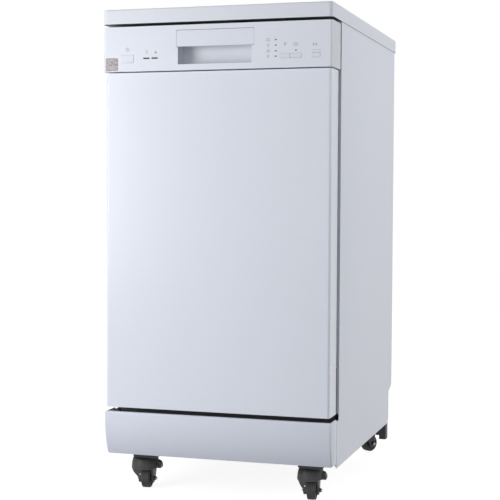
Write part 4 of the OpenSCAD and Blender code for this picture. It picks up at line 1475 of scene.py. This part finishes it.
@dataclass
class WashSystem:
    """Tub, filter, pumps, pipes and spray arms."""

    salt: Spot = (-75.0, 480.0, 190.0)
    filter: Spot = (72.0, 424.0, 191.5)
    arm_d: float = 316.0
    lower_arm_z: float = 224.0
    upper_arm_z: float = 524.0
    drying: Spot = (-200.0, 300.0, 448.0)

    def build(self) -> None:
        """Dresses the wet parts."""
        dress(STEEL, "tub_wrap")
        dress(BASIN, "tub_floor")
        dress(STEEL_FLAT, "filter_plate")
        dress(PLATED, "heater")
        dress(DARK_PLASTIC, "sump", "wash_pump", "drain_pump", "drain_outlet")
        dress(INNER_GREY, "inlet_valve", "supply_pipe", "upper_feed_tube")
        dress(ARM_BLUE, "filter_cylinder", "lower_spray_arm", "upper_spray_arm")
        self.salt_cap()
        self.filter_holes()
        self.arm_details()
        self.vent()

    def salt_cap(self) -> None:
        """Screws the ribbed cap with its grip on the salt container."""
        x, depth, z = self.salt
        disc = turned([(0, 7), (26, 7), (27, 6), (27, -0.3), (0, -0.3)], self.salt, (0, 0, 1), 64)
        bar = block((x - 22, depth - 4, z + 6.5), (x + 22, depth + 4, z + 13), 2.2, 4)
        rib = block((x + 26.6, depth - 1.2, z + 0.6), (x + 28.4, depth + 1.2, z + 6.6), 0.5, 2)
        ribs = ringed(rib, 36, self.salt, (0, 0, 1))
        finished(joined([disc, swung(bar, self.salt, 30), ribs]), "salt_cap", "cabinet", BASIN)

    def filter_holes(self) -> None:
        """Lays rings of holes round the filter plate."""
        rings = []
        x, depth, z = self.filter
        outline = [(0, 0.12), (1.3, 0.12), (1.3, -0.2), (0, -0.2)]
        for radius, count in ((42, 30), (46.4, 33), (50.8, 36), (55.2, 39)):
            hole = turned(outline, (x + radius, depth, z), (0, 0, 1), 10)
            rings.append(ringed(hole, count, self.filter, (0, 0, 1)))
        finished(joined(rings), "filter_holes", "cabinet", DARK_PLASTIC)

    def arm_details(self) -> None:
        """Caps each arm's hub and raises a rim round each of its spray slots."""
        skirt = [(7.4, 0), (16, 0), (16, 1.2), (12.6, 2.6), (11.4, 5.6), (10.2, 6.4)]
        hub = [*skirt, (0, 6.4), (0, 5.2), (7.4, 5.2), (7.4, 0)]
        for name, body, height, turn in (
            ("lower_arm_details", "lower_arm", self.lower_arm_z, 35.0),
            ("upper_arm_details", "upper_arm", self.upper_arm_z, -25.0),
        ):
            parts = []
            if body == "lower_arm":
                parts.append(turned(hub, (0, self.arm_d, height), (0, 0, 1), 36))
            for side in (-1, 1):
                for radius in (45, 78, 111, 138):
                    parts.append(self.slot_rim(side * radius, height))
            finished(swung(joined(parts), (0, self.arm_d, height), turn), name, body, ARM_BLUE)

    def slot_rim(self, radius: float, height: float) -> Piece:
        """Makes the raised rim of one spray slot.

        Args:
            radius: How far out the slot is.
            height: Height of the arm's upper face.

        Returns:
            The rim.
        """
        x, y, z = radius, self.arm_d, height
        rim = block((x - 2.6, y - 8.4, z - 0.3), (x + 2.6, y + 8.4, z + 0.9), 0.4)
        trimmed(rim, block((x - 1.2, y - 7, z - 1), (x + 1.2, y + 7, z + 2)))
        return rim

    def vent(self) -> None:
        """Puts the round drying vent on the tub's left wall."""
        rim = [(0, 0), (0, 0.8), (29, 0.8), (31, 2.6), (37, 2.6), (39.5, 0.6), (39.5, 0), (0, 0)]
        parts = [turned(rim, self.drying, (1, 0, 0), 48)]
        x, depth, middle = self.drying
        for rise, half, shifts in ((0, 27, (-6.5, 6.5)), (15.6, 21, (-31.2,))):
            z = middle + rise
            slat = block((x + 0.6, depth - half, z - 1.6), (x + 2.2, depth + half, z + 1.6), 0.7)
            parts.append(repeated(slat, [(0, 0, shift) for shift in shifts]))
        finished(joined(parts), "drying_vent", "cabinet", INNER_GREY)


@dataclass
class Racks:
    """Both racks, their rails and rollers, and the cutlery basket."""

    wheel_x: float = 181.0
    wheel_y: Pair = (194.0, 470.0)
    wheel_z: float = 222.4
    basket_x: Pair = (52.0, 148.0)
    basket_y: Pair = (104.0, 236.0)
    basket_z: Pair = (242.8, 352.0)
    wall: float = 2.5

    def build(self) -> None:
        """Dresses the wires and the mouldings, and adds grips, hubs and the open basket."""
        dress(RACK_COAT, "lower_rack_basket", "lower_rack_tines", "upper_rack_basket")
        dress(RACK_PLASTIC, "lower_rack_wheels", "rack_rollers")
        dress(STEEL_FLAT, "upper_rack_rails")
        self.grip("lower_rack_grip", "lower_rack", 318)
        self.grip("upper_rack_grip", "upper_rack", 640)
        self.hubs()
        self.basket()

    def grip(self, name: str, body: str, rim_z: float) -> None:
        """Clips a moulded grip to a rack's front rim.

        Args:
            name: The piece's name.
            body: The rack's body.
            rim_z: Height of the rim wire.
        """
        bar = block((-60, 83.5, rim_z - 9), (60, 92.5, rim_z + 4.5), 3, 4)
        hollow = block((-50, 80, rim_z - 6.4), (50, 88, rim_z + 0.5), 2, 3)
        trimmed(bar, hollow)
        clip = block((-54, 90, rim_z - 7), (-38, 100.2, rim_z + 3.6), 1.4, 3)
        clips = repeated(clip, [(46, 0, 0), (92, 0, 0)])
        finished(joined([bar, clips]), name, body, RACK_PLASTIC)

    def hubs(self) -> None:
        """Turns the stepped face of each lower wheel."""
        x, z = self.wheel_x, self.wheel_z
        front, rear = self.wheel_y
        boss = [(0, 1.9), (3.2, 1.8), (4, 1.2), (4, 0.5)]
        rim = [(9.4, 0.5), (10.2, 1.3), (12.4, 1.3), (13.2, 0.4), (13.2, -0.3), (0, -0.3)]
        hub = turned([*boss, *rim], (x, front, z), (1, 0, 0), 36)
        web = block((x - 0.2, front + 6, z - 0.8), (x + 1.0, front + 10, z + 0.8))
        webs = ringed(web, 8, (x, front, z), (1, 0, 0))
        pair = repeated(joined([hub, webs]), [(0, rear - front, 0)])
        finished(mirrored(pair), "rack_wheel_faces", "lower_rack", RACK_PLASTIC)

    def basket(self) -> None:
        """Builds the open cutlery basket in the place of the plain one."""
        (x0, x1), (y0, y1), (z0, z1) = self.basket_x, self.basket_y, self.basket_z
        half = self.wall / 2
        middle = (x0 + x1) / 2
        thirds = [y0 + half + (y1 - y0 - self.wall) * share / 3 for share in range(4)]
        parts = []
        for x in (x0 + half, middle, x1 - half):
            parts.append(lattice((x, y0 + half, z0 + 3), (x, y1 - half, z1 - 3), 15, 12, 1.9))
        for y in thirds:
            parts.append(lattice((x0 + half, y, z0 + 3), (x1 - half, y, z1 - 3), 11, 12, 1.9))
        floor = z0 + 1.5
        low, high = (x0 + half, y0 + half, floor), (x1 - half, y1 - half, floor)
        parts.append(lattice(low, high, 14, 19, 2.2))
        for low, high in ((z0, z0 + 7), (z1 - 7, z1)):
            for x in (x0, x1 - self.wall):
                parts.append(block((x, y0, low), (x + self.wall, y1, high), 0.8, 3))
            for y in (y0, y1 - self.wall):
                parts.append(block((x0, y, low), (x1, y + self.wall, high), 0.8, 3))
        for x in (x0, middle - half, x1 - self.wall):
            for y in thirds:
                parts.append(block((x, y - half, z0), (x + self.wall, y + half, z1 - 0.5), 0.7, 2))
        parts.append(block((middle - half, 146, z1 - 7), (middle + half, 194, z1 + 24), 0.8, 3))
        parts.append(block((middle - 5, 144, z1 + 21), (middle + 5, 196, z1 + 31), 4.4, 6))
        finish = (RACK_PLASTIC, "rack_coating")
        finished(joined(parts), "open_cutlery_basket", "lower_rack", *finish, "cutlery_basket")


@dataclass(frozen=True)
class Stand:
    """One caster's swivel axis, turn in degrees, and its hood's radius and shift.

    The shift goes away from the pedal's side. Only a caster with a pedal has one.
    """

    place: str
    x: float
    depth: float
    turn: float
    radius: float = 23.0
    shift: float = 0.0

    def swing(self, piece: Piece) -> Piece:
        """Turns a piece with the caster."""
        return swung(piece, (self.x, self.depth, 0), self.turn)


@dataclass
class Casters:
    """Four swivel casters, the front pair with brake pedals."""

    trail: float = 12.0
    axle_z: float = 18.5
    axle_r: float = 2.5
    cheek: Pair = (9.5, 12.5)
    boss: float = 9.0
    rim: float = 36.0
    crown: float = 49.0
    top: float = 58.2
    wall: float = 2.7
    well: float = 19.9
    flare: Pair = (13.0, 15.5)
    nut_face: float = 17.7
    leg_front: float = 18.6
    rivet: Pair = (-12.8, 26.5)
    pin: Pair = (19.0, 42.0)
    pin_r: float = 2.0
    pedal_half: float = 9.0
    ear_under: float = 38.2
    stands: tuple[Stand, ...] = (
        Stand("front_left", -167.5, 99.0, 6.0, 27.6, 7.0),
        Stand("front_right", 167.5, 99.0, 6.0, 25.8, 4.6),
        Stand("rear_left", -167.5, 575.0, 215.0),
        Stand("rear_right", 167.5, 575.0, 145.0),
    )

    def build(self) -> None:
        """Dresses plates and wheels, and builds forks and pedals."""
        dress(CASTER_PLASTIC, "caster_plates")
        for stand in self.stands:
            dress(TREAD, f"caster_wheel_{stand.place}")
            self.fork(stand)
            self.rivets(stand)
            if stand.shift:
                self.pedal(stand)

    def hood(self, stand: Stand) -> Piece:
        """Turns the round hood over a swivel bearing, with its neck.

        Args:
            stand: The caster.

        Returns:
            The hood.
        """
        radius, bore, neck = stand.radius, 5.3 + stand.shift, 14
        outer = [
            (bore, self.top), (radius - 3.8, self.top), (radius - 2.6, 56.4), (radius - 0.9, 50),
            (radius, 42), (radius, self.rim),
        ]
        inner = [
            (radius - self.wall, self.rim), (radius - self.wall - 1, 49), (radius - 5.6, 55.5),
            (neck, 55.5), (neck, 46), (bore, 46), (bore, self.top),
        ]
        centre = (stand.x - stand.shift, stand.depth, 0)
        return turned([*outer, *inner], centre, (0, 0, 1), 96)

    def leg(self, stand: Stand, side: int) -> Piece:
        """Makes a leg that flares from the axle up to the hood.

        Args:
            stand: The caster.
            side: 1 for the pedal's side, or -1.

        Returns:
            The leg.
        """
        x, depth, radius, shift = stand.x, stand.depth, stand.radius, stand.shift
        axle, cheek, steps = depth - self.trail, self.cheek[0], 12
        profile = [(depth - 19, self.crown), (depth + 13, self.crown), (depth + 13, 41)]
        for step in range(steps + 1):
            angle = math.radians(-40 - step * 100 / steps)
            spot = (axle + self.boss * math.cos(angle), self.axle_z + self.boss * math.sin(angle))
            profile.append(spot)
        profile.append((depth - 19.5, self.rim))
        leg = prism([(x + side * cheek, y, z) for y, z in profile], (side * 22, 0, 0))
        foot = self.flare[0 if side > 0 or not shift else 1]
        head = self.flare[0] if shift and side > 0 else radius - side * shift - 1.5
        front = [
            (cheek - 0.5, self.crown + 1), (cheek - 0.5, 6), (foot, 6), (foot + 1, 20),
            (head, self.rim + 2), (head, self.crown + 1),
        ]
        shape = prism([(x + side * across, depth - 30, z) for across, z in front], (0, 50, 0))
        trimmed(leg, shape, "INTERSECT")
        limit = [(0, 60), (radius - 0.4, 60), (radius - 0.4, 0), (0, 0)]
        trimmed(leg, turned(limit, (x - shift, depth, 0), (0, 0, 1), 96), "INTERSECT")
        return leg

    def fork(self, stand: Stand) -> None:
        """Builds a fork with its hood, legs, axle and nuts, and the pedal's window and pin.

        Args:
            stand: The caster.
        """
        x, depth = stand.x, stand.depth
        hood = self.hood(stand)
        axle = (x, depth - self.trail, self.axle_z)
        trimmed(hood, turned(rod(self.well, self.cheek[0]), axle, (1, 0, 0), 64))
        face = self.nut_face
        nut = [(0, face), (3.9, face), (4.4, face - 0.5), (4.4, 12), (0, 12)]
        parts = [hood, turned(rod(self.axle_r, 13.5), axle, (1, 0, 0), 24)]
        for side in (-1, 1):
            parts.append(self.leg(stand, side))
            parts.append(turned(nut, axle, (side, 0, 0), 6))
        if stand.shift:
            half, inner = self.pedal_half + 0.5, x + self.cheek[1] + 0.05
            trimmed(hood, block((inner, depth - half, 30), (x + 32, depth + half, 52.5)))
            trimmed(hood, block((inner, depth - 40, 30), (x + 40, depth + 40, self.ear_under)))
            parts.append(self.on_pin(stand, rod(self.pin_r, half + 2), 20))
        piece = stand.swing(joined(parts))
        place, finish = stand.place, (CASTER_PLASTIC, "caster_black")
        finished(piece, f"fork_shell_{place}", f"fork_{place}", *finish, f"caster_fork_{place}")

    def on_pin(self, stand: Stand, outline: list[Pair], steps: int) -> Piece:
        """Turns an outline round the pedal's pin."""
        across, z = self.pin
        return turned(outline, (stand.x + across, stand.depth, z), (0, 1, 0), steps)

    def pedal(self, stand: Stand) -> None:
        """Builds the ear of a brake on its knuckle, with grip grooves.

        Args:
            stand: The caster.
        """
        x, depth, half, under = stand.x, stand.depth, self.pedal_half, self.ear_under
        bore = self.pin_r + 0.1
        ring = [(bore, half), (3.8, half), (3.8, -half), (bore, -half), (bore, half)]
        knuckle = self.on_pin(stand, ring, 32)
        side = [
            (14, 51), (19.5, 52), (23.4, 50), (26, 45.4), (26.8, 40.4),
            (25.6, under - 0.6), (14, under),
        ]
        ear = prism([(x + across, depth - half + 1, z) for across, z in side], (0, 2 * half - 2, 0))
        trimmed(ear, self.on_pin(stand, rod(bore, half), 24))
        for step in range(3):
            across, z = x + 20.6 + 1.1 * step, 51.8 - 0.55 * step
            low, high = (across - 0.3, depth - half, z - 0.6), (across + 0.3, depth + half, z + 1)
            trimmed(ear, block(low, high))
        piece = stand.swing(joined([knuckle, ear]))
        hand, finish = stand.place.removeprefix("front_"), (CASTER_PLASTIC, "caster_black")
        finished(piece, f"pedal_ear_{hand}", f"pedal_{hand}", *finish, f"brake_pedal_{hand}")

    def rivets(self, stand: Stand) -> None:
        """Heads the two ends of a wheel's axle, and rivets the front of a leg.

        Args:
            stand: The caster.
        """
        angle = math.radians(stand.turn)
        across = Vector((math.cos(angle), math.sin(angle), 0))
        trail = Vector((math.sin(angle), -math.cos(angle), 0))
        foot = Vector((stand.x, stand.depth, 0))
        axle = foot + trail * self.trail + Vector((0, 0, self.axle_z))
        outline = [(0, 2.5), (1.4, 2.3), (2.5, 1.6), (3.1, 0.5), (3.1, -0.4), (0, -0.4)]
        heads = [
            turned(outline, tuple(axle + across * side * self.nut_face), tuple(across * side), 20)
            for side in (-1, 1)
        ]
        leg = foot + trail * self.leg_front + across * self.rivet[0] + Vector((0, 0, self.rivet[1]))
        outline = [(0, 1.2), (1.0, 1.0), (1.8, 0.3), (1.8, -0.4), (0, -0.4)]
        heads.append(turned(outline, tuple(leg), tuple(trail), 20))
        finished(joined(heads), f"rivets_{stand.place}", f"fork_{stand.place}", BRIGHT)


def main() -> None:
    """Builds the studio and the sub-assemblies in order."""
    logging.basicConfig(level=logging.INFO, format="%(name)s: %(message)s")
    for kind in (Studio, Worktop, Cabinet, ControlPanel, Door, WashSystem, Racks, Casters):
        kind().build()


if __name__ == "__main__":
    main()
